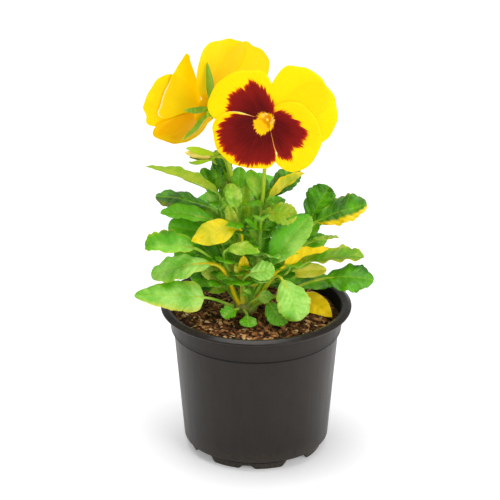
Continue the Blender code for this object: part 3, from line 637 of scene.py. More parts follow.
leaf_green = leaf_finish("leaf_green", (0.004, 0.080, 0.0), (0.115, 0.45, 0.0), (0.46, 0.82, 0.14))
leaf_yellow = leaf_finish("leaf_yellow", (0.26, 0.40, 0.0), (0.66, 0.60, 0.0), (0.88, 0.80, 0.02), 0.40, 0.16)
print("leaf finishes:", leaf_green.name, leaf_yellow.name)

# %% [markdown]
# A stem is ridged and juicy: yellow-green along its length, flushed with purple low down, with fine
# streaks that follow it. Streaks come from a noise on Object coordinates that is squeezed along Z.

# %% Stem, root and sepal finishes
STREAK = (0.50, 0.66, 0.06)


def stem_finish(name, low, high, flush):
    """Streaked skin of a stem, from one colour to another by `tone`, and to a third by `flush`."""
    finish, tree, shader = new_finish(
        name, Subsurface_Weight=0.1, Subsurface_Scale=0.002, Specular_IOR_Level=0.3)
    place = place_of(tree)
    streak = blotches(stretched(place, (1.0, 1.0, 0.12)), 0.7).rise(0.3, 0.7)
    soft = use_group(tree, patches, Vector=place)
    tone = mark_of(tree, "tone") + soft["Large"].span(-0.2, 0.2)
    colour = layers(low, (tone.rise(0.0, 1.0), high), (streak * 0.35, STREAK),
                    (mark_of(tree, "flush") * soft["Small"], flush))
    finish_with(shader, colour, soft["Small"].span(0.36, 0.50), streak + soft["Small"], 0.15)
    return finish


stem_green = stem_finish("stem_green", (0.10, 0.30, 0.0), (0.48, 0.70, 0.02), (0.20, 0.07, 0.04))
sepal_green = stem_finish("sepal_green", (0.09, 0.34, 0.0), (0.44, 0.70, 0.0), (0.80, 0.80, 0.42))
root_brown = stem_finish("root_brown", (0.09, 0.05, 0.015), (0.34, 0.30, 0.08), (0.04, 0.02, 0.01))
print("stem finishes:", stem_green.name, sepal_green.name, root_brown.name)

# %% [markdown]
# A petal is matt and velvety, and some light comes through it, for which it glows a little like the leaves.
# Fine rays run from its foot to its edge. On three petals of each flower the rays carry a dark red face
# with a feathered edge. `blotch` is how far inside that face a point is, as a share of the petal, and `eye`
# how far it is outside the yellow eye, in millimetres. The rays push both borders in and out, which makes
# the feathers.

# %% Petal finish
petal_yellow, tree, shader = new_finish(
    "petal_yellow", Specular_IOR_Level=0.08, Subsurface_Weight=0.4, Subsurface_Scale=0.003,
    Subsurface_Radius=(1.0, 0.7, 0.05), Emission_Strength=0.12)
cream = mark_of(tree, "cream")
ray = use_group(tree, rays, UV=place_of(tree, "UV"), Count=16.0)
soft = use_group(tree, patches, Vector=place_of(tree))
yellow = layers(
    (1.0, 0.67, 0.0), (ray["Fine"] * 0.35, (1.0, 0.60, 0.0)), (soft["Large"] * 0.25, (1.0, 0.57, 0.0)),
    (mark_of(tree, "gold") * ray["Broad"].span(0.6, 1.0), (0.96, 0.40, 0.0)), (cream, (1.0, 0.84, 0.40)))
inside = mark_of(tree, "blotch") + (ray["Broad"].span(-0.040, 0.040) + ray["Fine"].span(-0.018, 0.018))
outside_eye = mark_of(tree, "eye") + ray["Broad"].span(-0.9, 0.9)
face_on = inside.rise(-0.012, 0.006) * outside_eye.rise(-0.2, 0.3) * cream.rise(0.6, 0.2)
dark = layers(
    (0.52, 0.025, 0.0), (inside.rise(0.0, 0.07), (0.165, 0.0045, 0.004)),
    (inside.rise(0.10, 0.42), (0.060, 0.0015, 0.0015)), (ray["Fine"] * 0.45, (0.19, 0.008, 0.009)))
halo = inside.rise(-0.045, -0.01) * outside_eye.rise(-0.8, 0.0)
colour = layers(yellow, (halo * 0.75, (0.95, 0.28, 0.0)), (face_on, dark))
plug(shader, {"Emission Color": colour})
rough = ray["Fine"].span(0.46, 0.58) + face_on * 0.12
finish_with(shader, colour, rough, ray["Broad"] * 0.7 + ray["Fine"] * 0.4, 0.18)
print("petal finish:", petal_yellow.name)

# %% [markdown]
# Nursery pots are thin black polypropylene: not quite black, with a fine grain, faint flow lines down the
# wall, scuffs on the rim and dried soil water near the top and the foot. Hardly any light reaches the
# groove under the collar, the gap between the wall and the foot ring, and the inner wall. These are
# masks of height and radius that darken and dull the plastic.

# %% Pot finish
PLASTIC, FLOW_LINE, PALE_PATCH = (0.0125, 0.0085, 0.0060), (0.0180, 0.0128, 0.0090), (0.023, 0.0170, 0.0120)
DUST, SCUFF, UNLIT = (0.13, 0.105, 0.075), (0.14, 0.155, 0.16), (0.004, 0.003, 0.002)
black_plastic, tree, shader = new_finish("black_plastic", Specular_IOR_Level=0.25)
place = place_of(tree)
soft = use_group(tree, patches, Vector=place)
split = node(tree, "ShaderNodeSeparateXYZ", {0: place}).outputs
height = Mask(split[2])
flat = node(tree, "ShaderNodeCombineXYZ", {0: split[0], 1: split[1], 2: 0.0})
radius = Mask(node(tree, "ShaderNodeVectorMath", {0: flat.outputs[0]}, operation="LENGTH").outputs["Value"])
flow = blotches(stretched(place, (1.0, 1.0, 0.06)), 5.0).rise(0.25, 0.75)
scuff = blotches(stretched(place, (0.15, 0.15, 3.0), (0.3, 0.1, 0.0)), 1.1, 4.0, 0.7).rise(0.62, 0.78)
near_rim, lip = height.rise(0.078, 0.0845), height.rise(0.0826, 0.0834)
dusty = (near_rim * 0.02).step("MAXIMUM", height.rise(0.016, 0.0) * 0.3) * soft["Small"].span(0.2, 1.0)
inner_wall = radius.rise(0.0472, 0.0466) * height.rise(0.0700, 0.0710)
groove = height.rise(0.0684, 0.0690) * height.rise(0.0709, 0.0701)
foot_gap = height.rise(0.0034, 0.0039) * height.rise(0.0062, 0.0055)
unlit = inner_wall.step("MAXIMUM", groove.step("MAXIMUM", foot_gap))
colour = layers(PLASTIC, (flow, FLOW_LINE), (soft["Large"] * 0.3, PALE_PATCH), (dusty, DUST),
                (scuff * near_rim.span(0.10, 0.5), SCUFF), (unlit, UNLIT))
rough = flow.span(0.34, 0.42) + dusty * 0.35 + lip * -0.14 + unlit * 0.5
finish_with(shader, colour, rough, blotches(place, 0.35, 2.0) + flow * 1.5, 0.06)
print("pot finish:", black_plastic.name)

# %% [markdown]
# Potting soil is peat, bark and a few pale fibres. The ground takes dark browns from two noises, and each
# crumb carries its own `tone`, from wet peat to dry tan bark, so that no two neighbours look the same.

# %% Soil finish
WET_PEAT, PEAT, BARK = (0.012, 0.006, 0.003), (0.23, 0.085, 0.022), (0.58, 0.27, 0.08)
FIBRE, GRIT = (0.88, 0.66, 0.36), (0.34, 0.16, 0.05)
potting_soil, tree, shader = new_finish("potting_soil", Specular_IOR_Level=0.3)
place = place_of(tree)
soft = use_group(tree, patches, Vector=place)
tone = mark_of(tree, "tone") + soft["Small"].span(-0.14, 0.14)
grit = blotches(place, 0.5, 4.0, 0.7)
colour = layers(WET_PEAT, (tone.rise(0.0, 0.45), PEAT), (tone.rise(0.45, 0.75), BARK),
                (tone.rise(0.75, 1.0), FIBRE), (grit.rise(0.55, 0.8), GRIT))
finish_with(shader, colour, soft["Small"].span(0.72, 0.95), grit, 0.5)
print("soil finish:", potting_soil.name)

# %% [markdown]
# The floor is almost white. It glows a little itself, so that the shadow of the pot stays soft and pale.

# %% Lay the floor
HALF_FLOOR = 6.0
pale_floor, tree, shader = new_finish(
    "pale_floor", Emission_Color=(1.0, 1.0, 1.0, 1.0), Emission_Strength=0.24)
tint = layers((0.94, 0.94, 0.94), (blotches(place_of(tree), 90.0), (0.96, 0.96, 0.96)))
finish_with(shader, tint, 0.7)
floor_mesh = bpy.data.meshes.new("floor")
corners = [(x * HALF_FLOOR, y * HALF_FLOOR, 0) for x, y in ((-1, -1), (1, -1), (1, 1), (-1, 1))]
floor_mesh.from_pydata(corners, [], [(0, 1, 2, 3)])
floor_mesh.materials.append(pale_floor)
floor = bpy.data.objects.new("floor", floor_mesh)
scene.collection.objects.link(floor)
floor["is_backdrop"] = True
print("floor", 2 * HALF_FLOOR, "m across")

# %% [markdown]
# ## The pot
# A moulded pot is a turned shape: one profile carried round a circle. A Screw modifier could carry it, but
# the foot is reshaped below, and for that the points have to be at hand. The corners of the profile are
# rounded first, each by a short parabola.

# %% Tools for turned shapes
POT_HEIGHT, RIM, COLLAR_TOP, COLLAR_FOOT = 85.0, 52.5, 47.6, 47.0
BODY_TOP, BODY_FOOT, FOOT, WALL, FLOOR_LOW, FLOOR_HIGH = 45.3, 40.0, 36.9, 1.2, 5.2, 6.6
NOTCH_TURN, NOTCH_SMALL, NOTCH_LARGE, DRAIN, DRAIN_CENTRE = -8.0, 4.4, 9.0, 4.0, 27.5


def rounded(profile, reach, steps=5):
    """The profile with each corner replaced by a parabola that starts `reach` mm before it, or less."""
    corners = np.asarray(profile, float)
    before, after = corners[:-2] - corners[1:-1], corners[2:] - corners[1:-1]
    gap = np.minimum(np.linalg.norm(before, axis=1), np.linalg.norm(after, axis=1))
    pull = np.minimum(reach, 0.45 * gap)[:, None]
    first, last = corners[1:-1] + unit(before) * pull, corners[1:-1] + unit(after) * pull
    t = np.linspace(0, 1, steps)[None, :, None]
    bends = (1 - t) ** 2 * first[:, None] + 2 * t * (1 - t) * corners[1:-1, None] + t**2 * last[:, None]
    return np.vstack([corners[:1], bends.reshape(-1, 2), corners[-1:]])


def turned(profile, segments, lifted=None):
    """A profile (radius, height) from the axis round to the axis, carried round Z as a closed surface."""
    angle = circle(segments)
    radius, height = profile[1:-1, 0][:, None], profile[1:-1, 1][:, None]
    rings = np.stack(np.broadcast_arrays(radius * np.sin(angle), -radius * np.cos(angle), height), -1)
    if lifted is not None:
        rings = lifted(rings, angle)
    ends = [(0, 0, profile[0, 1]), (0, 0, profile[-1, 1])]
    return surface(np.vstack([rings.reshape(-1, 3), ends]), tube_faces(len(rings), segments), (0, 0))


print("pot height and rim in mm:", POT_HEIGHT, 2 * RIM)

# %% [markdown]
# The foot ring isn't even, because eight notches let water out, so the ring's lower points are lifted where
# a notch is. A Boolean could cut them too, but lifting points leaves clean quads with soft edges. Only the
# four drain holes are cut by a Boolean, at the end.

# %% Turn the pot
NOTCH_STEP, NOTCH_LOW, EDGE_SOFT = 45.0, 1.9, 0.6


def lift_foot(rings, angle):
    """Raises the lower edge of the foot ring in eight notches, small and large in turn.

    The rise is the notch's height times a soft-sided box of the distance along the ring.
    """
    number = np.round((np.degrees(angle) - NOTCH_TURN) / NOTCH_STEP)
    along = np.radians(np.degrees(angle) - NOTCH_TURN - NOTCH_STEP * number) * FOOT
    large = number % 2 == 1
    half = np.where(large, NOTCH_LARGE, NOTCH_SMALL)
    top = np.where(large, FLOOR_LOW - 0.4, NOTCH_LOW)
    rise = top * ease(half - np.abs(along), -EDGE_SOFT, half * 0.55)
    height = rings[..., 2]
    radius = np.hypot(rings[..., 0], rings[..., 1])
    low = (radius > FOOT - 2.6) & (radius < FOOT + 0.3) & (height < FLOOR_LOW - 0.01)
    rings[..., 2] = np.where(low, rise + height * (1 - rise / FLOOR_LOW), height)
    return rings


profile = rounded([
    (0, FLOOR_LOW), (FOOT - 2.2, FLOOR_LOW), (FOOT - 1.8, 0.0), (FOOT - 0.6, 0.0), (FOOT, FLOOR_LOW),
    (BODY_FOOT - 0.7, FLOOR_LOW), (BODY_FOOT, FLOOR_LOW + 1.0), (BODY_TOP, 68.8), (COLLAR_FOOT - 0.5, 69.5),
    (COLLAR_FOOT, 70.8), (COLLAR_TOP, POT_HEIGHT - 3.0), (RIM - 0.5, POT_HEIGHT - 2.9),
    (RIM, POT_HEIGHT - 2.2), (RIM - 0.15, POT_HEIGHT - 1.5), (RIM - 1.9, POT_HEIGHT - 0.4),
    (RIM - 2.6, POT_HEIGHT), (RIM - 3.4, POT_HEIGHT - 0.1), (COLLAR_TOP - 0.2, POT_HEIGHT - 0.8),
    (COLLAR_TOP - WALL, POT_HEIGHT - 2.2),
    (COLLAR_FOOT - WALL, 71.0), (BODY_TOP - WALL, 68.0), (BODY_FOOT - WALL, FLOOR_HIGH), (0, FLOOR_HIGH),
], 0.7)
pot_shape = turned(profile, 320, lift_foot)
pot = grow("nursery_pot", pot_shape, black_plastic, "black_plastic", "pot", sharp=40)
drill = turned(np.array([(0, 2.0), (DRAIN, 2.0), (DRAIN, 10.0), (0, 10.0)]), 40)
drill_faces = [list(dict.fromkeys(face)) for face in drill["faces"].tolist()]
for number in (1, 3, 5, 7):
    turn = math.radians(NOTCH_TURN + NOTCH_STEP * number)
    place = (math.sin(turn) * DRAIN_CENTRE, -math.cos(turn) * DRAIN_CENTRE, 0)
    mesh = bpy.data.meshes.new("drill")
    mesh.from_pydata(((drill["points"] + place) * MM).tolist(), [], drill_faces)
    tool = bpy.data.objects.new("drill", mesh)
    scene.collection.objects.link(tool)
    hole = pot.modifiers.new("drain", "BOOLEAN")
    hole.operation, hole.solver, hole.object = "DIFFERENCE", "EXACT", tool
    with bpy.context.temp_override(object=pot, active_object=pot):
        bpy.ops.object.modifier_apply(modifier=hole.name)
    bpy.data.objects.remove(tool)
print("pot rim", 2 * RIM, "mm across; faces with drain holes:", len(pot.data.polygons))

# %% [markdown]
# ## The soil
# The soil is a low mound: the height that the plain solid has, plus three finer noises. Rings of points run
# in from the pot's wall to the middle, so the ground meets the wall all round.

# %% Fill the pot with soil
def soil_height(x, y):
    """Top of the plain soil: a mound 3 mm high with shallow waves, in mm."""
    waves = np.sin(0.31 * x + 1.3) * np.cos(0.27 * y - 0.4) + 0.6 * np.sin(0.19 * x - 0.33 * y)
    return 76.6 + 3.0 * (1 - (np.hypot(x, y) / 45.0) ** 2) + 0.45 * waves


INNER_EDGE = COLLAR_FOOT - WALL - 0.1
angle = circle(260)
reach = np.concatenate([[BODY_FOOT - WALL - 0.3, BODY_TOP - WALL - 0.4, INNER_EDGE - 0.3],
                        np.linspace(INNER_EDGE, 0.6, 84)])[:, None]
x, y = reach * np.cos(angle), reach * np.sin(angle)
z = soil_height(x, y) - 0.3
flat_places = np.stack([x, y, 0 * z], -1)
for height, size, seed in ((0.55, 5.0, 3), (0.5, 2.6, 4), (0.3, 1.5, 5)):
    z = z + height * rumple(flat_places, size, seed)
z[:3] = [[FLOOR_HIGH + 0.3], [67.6], [72.0]]
middle = [(0, 0, FLOOR_HIGH + 0.3), (0, 0, z[-1].mean())]
ground = np.vstack([np.stack([x, y, z], -1).reshape(-1, 3), middle])
tone = np.append(0.20 + 0.16 * rumple(np.stack([x, y, z], -1), 4.0, 6).ravel(), [0.1, 0.2])
ground_shape = surface(ground, tube_faces(len(reach), len(angle)), (0, 0), tone=tone)


print("points of the ground:", len(ground))

# %% [markdown]
# On top lie about 1600 crumbs of bark and peat. A particle system could scatter them, but here they are one
# mesh: a lump of 36 faces is stretched and turned for each of them in a single array.

# %% Strew the crumbs
def swung(first, second, angle):
    """Two coordinates of each lump after a turn by its angle."""
    cosine, sine = np.cos(angle)[:, None], np.sin(angle)[:, None]
    return first * cosine - second * sine, first * sine + second * cosine


def crumbs(count, seed, low, high, long, tones):
    """Irregular lumps strewn on the soil: a sphere of 5 rings of 6, scaled, turned and dented for each.

    Points of one lump are R S p, with S its three half sizes and R a random turn, and its centre lies
    on the soil at a radius of sqrt(random) times the pot's.
    """
    rng = np.random.default_rng(seed)
    rise = np.linspace(-1, 1, 7)[1:-1]
    wide, ring = np.sqrt(1 - rise[:, None] ** 2), circle(6)
    ball = np.stack(np.broadcast_arrays(wide * np.cos(ring), wide * np.sin(ring), rise[:, None]), -1)
    ball = np.vstack([ball.reshape(-1, 3), [(0, 0, -1), (0, 0, 1)]])
    size = rng.uniform(low, high, (count, 1)) * np.array([1.0, rng.uniform(0.55, 0.9), 0.45])
    size[:, 0] *= rng.uniform(1.0, long, count)
    dents = rng.uniform(0.72, 1.15, (count, len(ball), 1))
    lean, turn = rng.uniform(-0.5, 0.5, count), rng.uniform(0, 2 * math.pi, count)
    shape = ball[None] * size[:, None] * dents
    a, b, c = shape[..., 0], shape[..., 1], shape[..., 2]
    a, c = swung(a, c, lean)
    a, b = swung(a, b, turn)
    out = np.sqrt(rng.uniform(0.004, 1.0, count)) * (INNER_EDGE - size[:, 0].max() * 0.9)
    way = rng.uniform(0, 2 * math.pi, count)
    x, y = out * np.cos(way), out * np.sin(way)
    z = soil_height(x, y) + size[:, 2] * rng.uniform(0.1, 0.9, count)
    points = np.stack([a + x[:, None], b + y[:, None], c + z[:, None]], -1)
    faces = tube_faces(5, 6)[None] + (np.arange(count) * len(ball))[:, None, None]
    own = np.repeat(rng.choice(tones, count) + rng.uniform(-0.08, 0.08, count), len(ball))
    return surface(points, faces.reshape(-1, 4), (0, 0), tone=own)


soil_shape = join([ground_shape,
                   crumbs(950, 11, 0.5, 1.1, 1.6, [0.0, 0.2, 0.4, 0.55, 0.72]),
                   crumbs(330, 12, 1.0, 1.9, 1.5, [0.1, 0.3, 0.5, 0.62, 0.8]),
                   crumbs(240, 13, 0.35, 0.6, 5.0, [0.5, 0.7, 0.85, 1.0]),
                   crumbs(90, 14, 0.7, 1.2, 1.3, [0.9, 1.0])])
grow("potting_mix", soil_shape, potting_soil, "potting_soil", "soil", sharp=40)

# %% [markdown]
# ## Leaves
# Pansy leaves grow singly along the stems and crowd round the crown. Young ones stand up and are pale, old
# ones hang, flatten and turn yellow from the edge inward. A stalk starts on a stem or on the crown, so the
# stems' lines come first.

# %% The lines of the stems
CROWN, CROWN_RADIUS = np.array([-6.0, -1.0, 81.5]), 6.6
STEMS = {
    "stem_middle": ((-60, 80), [(-8.0, 2, 106), (-9, 4, 130), (-11.5, 6, 150)], 1.8, 1.1),
    "stem_left": ((-98, 55), [(-15, 3, 102), (-17.5, 6, 121), (-18.5, 8, 141)], 1.6, 1.0),
    "stem_right": ((60, 66), [(0.5, -2, 104), (2, -1, 124), (3, 1, 142)], 1.6, 1.1),
    "stem_outer": ((120, 50), [(9, 7, 97), (19, 9, 111), (29, 9, 127)], 1.5, 1.0),
    "stem_rear": ((175, 55), [(-4, 13, 100), (-2, 18, 117), (-3, 21, 137)], 1.6, 1.0),
}


def stem_line(name, count=101):
    """Points, directions and radii along a stem, from just inside the crown."""
    leaving, points, foot, top = STEMS[name]
    out = aimed(*leaving)
    start = CROWN + out * (CROWN_RADIUS + 0.3)
    line, along = smooth_line([start, start + out * 4.5, *points], count)
    return line, along, np.linspace(foot, top, count)


def leaf_start(where, toward):
    """Where a stalk starts, a little inside its stem or the crown, and the way that it leaves."""
    if where[0] == "crown":
        out = aimed(where[1], where[2])
        return CROWN + out * (CROWN_RADIUS - 0.8), out
    line, along, radius = stem_line(where[0])
    row = round(where[1] * 100)
    away = np.asarray(toward, float) - line[row]
    out = unit(away - along[row] * (away @ along[row]))
    return line[row] + out * radius[row] * 0.5, out


print("stems:", ", ".join(STEMS))

# %% [markdown]
# One row describes one leaf. Geometry Nodes could scatter leaves by chance, but on this plant every large
# leaf has its own place, bend and colour.

# %% The table of leaves
# Start (a stem and the share of its length, or the crown, a turn and a lift), where the blade starts, its
# tip, the way that it faces, its width, arch, fold and point, and what else sets the leaf apart.
GREEN_LEAVES = {
    "leaf_left_high": (
        ("stem_left", 0.95), (-21, 6, 147), (-59, -6, 167), (0.3, 0.75, 0.6), 18, 1.5, 8, 0.75,
        dict(tone=0.58, yellow=0.30, curl=14, teeth=7, tooth=0.13, wave=0.4)),
    "leaf_left_upper_dark": (
        ("stem_left", 0.84), (-24, 14, 134), (-55, 13, 142), (0.0, -0.35, 0.95), 16, 2.0, 5, 0.5,
        dict(tone=0.16, curl=-22, edge=0.28)),
    "leaf_left_upper": (
        ("stem_left", 0.78), (-23, 3, 132), (-52, -1, 138), (0.2, -0.5, 0.85), 12, 2.0, 10, 0.6,
        dict(tone=0.52, curl=18, wave=0.7)),
    "leaf_left_middle": (
        ("stem_left", 0.62), (-20, 4, 121), (-48, 2, 129), (0.2, -0.6, 0.8), 17, 1.5, 8, 0.5,
        dict(tone=0.42, curl=-16, wave=0.8)),
    "leaf_left_curled": (
        ("stem_left", 0.55), (-34, -7, 120), (-60, -13, 123), (-0.2, -0.75, 0.6), 19, 4.0, 20, 0.5,
        dict(tone=0.62, curl=46, wave=1.2, margin=0.4, teeth=6, tooth=0.16, lopsided=0.2)),
    "leaf_left_inner": (
        ("stem_left", 0.38), (-20, 4, 108), (-45, 4, 113), (0.1, -0.6, 0.8), 15, 2.0, 8, 0.5,
        dict(tone=0.40, curl=-10)),
    "leaf_top_dark": (
        ("stem_middle", 0.93), (-15, 13, 150), (-22, 13, 168), (0.3, -0.9, 0.1), 11, 1.0, 5, 0.6,
        dict(tone=0.14, teeth=4, curl=10)),
    "leaf_top_front": (
        ("stem_middle", 0.74), (-11, -2, 141), (-13, -6, 157), (-0.2, -1.0, 0.3), 10, 0.5, 8, 0.6,
        dict(tone=0.70, yellow=0.24, teeth=4, curl=14)),
    "leaf_front_arched": (
        ("stem_middle", 0.36), (-16, -14, 122), (2, -20, 123), (0.1, -0.5, 0.85), 11, 3.5, 8, 0.8,
        dict(tone=0.66, yellow=0.30, curl=-40, teeth=4)),
    "leaf_right_high": (
        ("stem_right", 0.96), (7, 1, 146), (26, 2, 160), (-0.4, 0.75, 0.5), 13, 1.0, 12, 0.7,
        dict(tone=0.72, yellow=0.52, margin=0.4, curl=10, teeth=5, wave=0.4)),
    "leaf_right_high_rear": (
        ("stem_right", 0.86), (7, 9, 144), (23, 17, 157), (-0.2, -0.7, 0.6), 14, 1.0, 5, 0.5,
        dict(tone=0.18, curl=-18)),
    "leaf_right_round": (
        ("stem_right", 0.80), (4, -6, 141), (22, -12, 141), (0.1, -0.9, 0.45), 13, 2.5, 5, 0.45,
        dict(tone=0.64, yellow=0.34, curl=-26, teeth=6, tooth=0.16, stalk_yellow=0.4)),
    "leaf_right_big": (
        ("stem_right", 0.24), (8, -12, 113), (29, -9, 140), (-0.3, -0.85, 0.35), 22, 2.0, 22, 0.55,
        dict(tone=0.62, curl=34, wave=0.5, teeth=8, tooth=0.06, lopsided=-0.3)),
    "leaf_outer_dark": (
        ("stem_outer", 0.86), (29, 13, 127), (40, 15, 147), (-0.3, -0.85, 0.3), 19, 1.0, 6, 0.5,
        dict(tone=0.26, curl=14, teeth=6)),
    "leaf_outer_far": (
        ("stem_outer", 0.98), (33, 6, 130), (60, 2, 142), (0.0, -0.6, 0.8), 18, 1.5, 14, 0.5,
        dict(tone=0.22, curl=-14, teeth=7, tooth=0.14, margin=0.25, edge=-0.9)),
    "leaf_outer_thin": (
        ("stem_outer", 0.68), (29, 3, 119), (45, 0, 123), (0.0, 0.2, 1.0), 7, 1.0, 6, 0.8,
        dict(tone=0.70, yellow=0.25, teeth=4)),
    "leaf_outer_crenate": (
        ("stem_outer", 0.52), (30, 5, 107), (59, 3, 110), (0.0, -0.2, 1.0), 19, 1.5, 6, 0.5,
        dict(tone=0.52, yellow=0.22, margin=0.3, curl=16, teeth=7, tooth=0.15)),
    "leaf_outer_rear": (
        ("stem_outer", 0.76), (26, 20, 120), (45, 34, 128), (0.0, -0.3, 1.0), 18, 2.0, 6, 0.5,
        dict(tone=0.36, curl=-14)),
    "leaf_right_low": (
        ("crown", 88, 20), (37, -3, 100), (63.9, -10, 102), (0.1, -0.5, 0.85), 20, 2.0, 5, 0.6,
        dict(tone=0.26, curl=-16, teeth=7, tooth=0.1, stalk_yellow=0.35)),
    "leaf_front_big": (
        ("crown", 45, 28), (14, -20, 107), (24, -31, 88), (0.25, -0.85, 0.5), 20, 2.5, 6, 0.5,
        dict(tone=0.80, curl=-26, teeth=7, tooth=0.08, margin=0.3, stalk_yellow=0.45, lopsided=0.14)),
    "leaf_front_low": (
        ("crown", 24, 13), (6, -14, 91), (15, -25, 82), (0.2, -0.6, 0.75), 13, 1.0, 5, 0.55,
        dict(tone=0.52, curl=-14, teeth=5)),
    "leaf_front_small": (
        ("crown", 18, 35), (1, -14, 93), (9, -17, 96), (-0.3, -0.8, 0.5), 8, 0.5, 10, 0.7,
        dict(tone=0.74, yellow=0.2, teeth=3)),
    "leaf_front_light": (
        ("crown", 12, 60), (-4, -18, 109), (10, -20, 113), (-0.1, -0.7, 0.7), 12, 1.5, 8, 0.5,
        dict(tone=0.78, curl=-20, teeth=5)),
    "leaf_front_stalk": (
        ("crown", -20, 56), (-8, -9, 103), (-11, -11, 113), (0.3, -0.9, 0.3), 7, 0.5, 8, 0.7,
        dict(tone=0.85, yellow=0.50, teeth=3, stalk=1.7, stalk_tone=0.9, stalk_yellow=0.55)),
    "leaf_front_tiny": (
        ("crown", -6, 13), (-5, -16, 84), (-4, -26, 81.5), (0.0, -0.5, 0.9), 10, 0.5, 4, 0.4,
        dict(tone=0.62, curl=-12, teeth=4)),
    "leaf_front_lobed": (
        ("crown", -38, 15), (-11, -15, 87), (-18, -21, 85), (0.0, -0.6, 0.8), 10, 1.0, 4, 0.4,
        dict(tone=0.50, curl=20, teeth=4, tooth=0.3)),
    "leaf_left_low_big": (
        ("crown", -80, 14), (-28, -17, 95), (-66, -21, 98), (0.0, -0.75, 0.66), 18, 2.5, 4, 0.62,
        dict(tone=0.74, curl=-16, teeth=8, tooth=0.06, margin=0.35, base=0.15, lopsided=0.1, edge=0.15)),
    "leaf_left_arched": (
        ("crown", -48, 43), (-24, -10, 112), (-57, -13, 106), (0.0, -0.4, 0.9), 18, 3.0, 6, 0.5,
        dict(tone=0.76, curl=-20, teeth=7, margin=0.3, stalk=1.35, stalk_yellow=0.72)),
    "leaf_left_low_rear": (
        ("crown", -125, 22), (-22, 11, 96), (-45, 27, 101), (0.0, -0.3, 1.0), 18, 2.0, 6, 0.5,
        dict(tone=0.40, curl=-14)),
    "leaf_rear_left": (
        ("stem_rear", 0.55), (-12, 26, 121), (-33, 41, 129), (0.2, -0.4, 0.9), 20, 2.0, 6, 0.5,
        dict(tone=0.36, curl=-16)),
    "leaf_rear_middle": (
        ("stem_rear", 0.78), (0, 29, 129), (5, 50, 140), (0.0, -0.6, 0.8), 20, 2.0, 6, 0.5,
        dict(tone=0.48, curl=12)),
    "leaf_rear_right": (
        ("stem_rear", 0.40), (9, 25, 111), (28, 43, 117), (-0.1, -0.4, 0.9), 20, 2.0, 6, 0.5,
        dict(tone=0.30, curl=-18)),
}
YELLOW_LEAVES = {
    "leaf_front_yellow": (
        ("stem_middle", 0.58), (-11, -8, 132), (-35, -14, 127), (0.0, -0.7, 0.7), 15, 2.0, 6, 0.9,
        dict(tone=0.40, yellow=0.42, curl=12, teeth=5, tooth=0.05, stalk_yellow=0.6)),
    "leaf_right_yellow": (
        ("crown", 72, 42), (15, -9, 110), (39, -13, 122), (-0.1, 0.7, 0.65), 13, 1.5, 8, 0.8,
        dict(tone=0.50, yellow=0.80, curl=22, teeth=5, tooth=0.06, stalk_yellow=0.6)),
}
for table, finish, slot in (
    (GREEN_LEAVES, leaf_green, "leaf_green"),
    (YELLOW_LEAVES, leaf_yellow, "leaf_yellow"),
):
    for number, (name, (where, *shape, look)) in enumerate(table.items()):
        whole = leaf(*leaf_start(where, shape[0]), *shape, seed=3 + number, **look)
        grow("pansy_" + name, whole, finish, slot, name)

# %% [markdown]
# One leaf has dropped and lies on the soil, bright yellow, with its rear edge propped up. It has no stalk
# left, so it is a blade alone, bent a little across so that it touches the crumbs at its tip and front edge.

# %% Lay the fallen leaf
foot, tip = np.array([24.0, 14.0]), np.array([41.5, -7.0])
low = [soil_height(*place) + 1.4 for place in (foot, tip)]
across = unit(np.array([tip[1] - foot[1], foot[0] - tip[0]]))
FALLEN_WIDTH, tilt = 13.0, math.radians(32.0)
rise = FALLEN_WIDTH / 2 * math.sin(tilt)
facing = np.array([*(across * math.sin(tilt)), math.cos(tilt)])
fallen = blade((*foot, low[0] + rise), (*tip, low[1] + 0.8), facing, FALLEN_WIDTH, 1.0, 3, 0.85,
               curl=10, teeth=5, tooth=0.03, seed=61, tone=0.7, yellow=1.7, wave=0.4)
grow("pansy_leaf_fallen_yellow", fallen, leaf_yellow, "leaf_yellow", "leaf_fallen_yellow")

# %% [markdown]
# ## Stems, stipules and young leaves
# A pansy stem is ridged and swells where a leaf leaves it. At each of those nodes stands a pair of stipules,
# leafy and cut into lobes, and young leaves crowd between them: together they fill the middle of the plant
# with green. A stem and all that is small on it are one piece, and every lobe is a small blade from the same
# function. Golden angle steps of 137.5 degrees spread the young leaves as a growing tip does.

# %% Shape the stipules and the young leaves
GOLDEN_ANGLE = 137.5
UPWARD, ASIDE = np.array([0, 0, 1.0]), (0.3, 1.0, 0.1)


def stipule(base, out, lean, length, rng):
    """A stipule: a long middle lobe, and two pairs of short ones that leave its foot at wider angles."""
    across = unit(np.cross(out, UPWARD))
    way = unit(out * rng.uniform(0.3, 0.7) + across * lean + UPWARD * rng.uniform(0.5, 1.0))
    beside = unit(np.cross(way, out + 0.3 * across))
    face = unit(out * 0.8 - across * lean * 0.3 + UPWARD * 0.6)
    tone, yellow = rng.uniform(0.2, 0.85), rng.uniform(0.0, 0.25)
    small = dict(teeth=3, tooth=0.08, quilt=0.15, foot=0.5, thick=0.35, wave=0.4, tone=tone, yellow=yellow)
    width = length * rng.uniform(0.26, 0.36)
    pieces = [blade(base, base + way * length, face, width, length * 0.07, 10, 0.6, curl=-24,
                    seed=int(rng.integers(99)), rows=16, columns=8, **small)]
    for share, side, wide in ((0.10, 1, 1.1), (0.14, -1, 1.1), (0.34, 1, 0.7), (0.38, -1, 0.7)):
        start = base + way * length * share
        reach = length * rng.uniform(0.32, 0.5)
        tip = start + unit(way + beside * side * wide) * reach
        pieces.append(blade(start, tip, face, reach * 0.34, reach * 0.05, 8, 0.6, curl=-20,
                            seed=int(rng.integers(99)), rows=9, columns=6, **small))
    return pieces


YOUNG_LOOK = dict(teeth=5, columns=12, sides=8, foot=0.6)


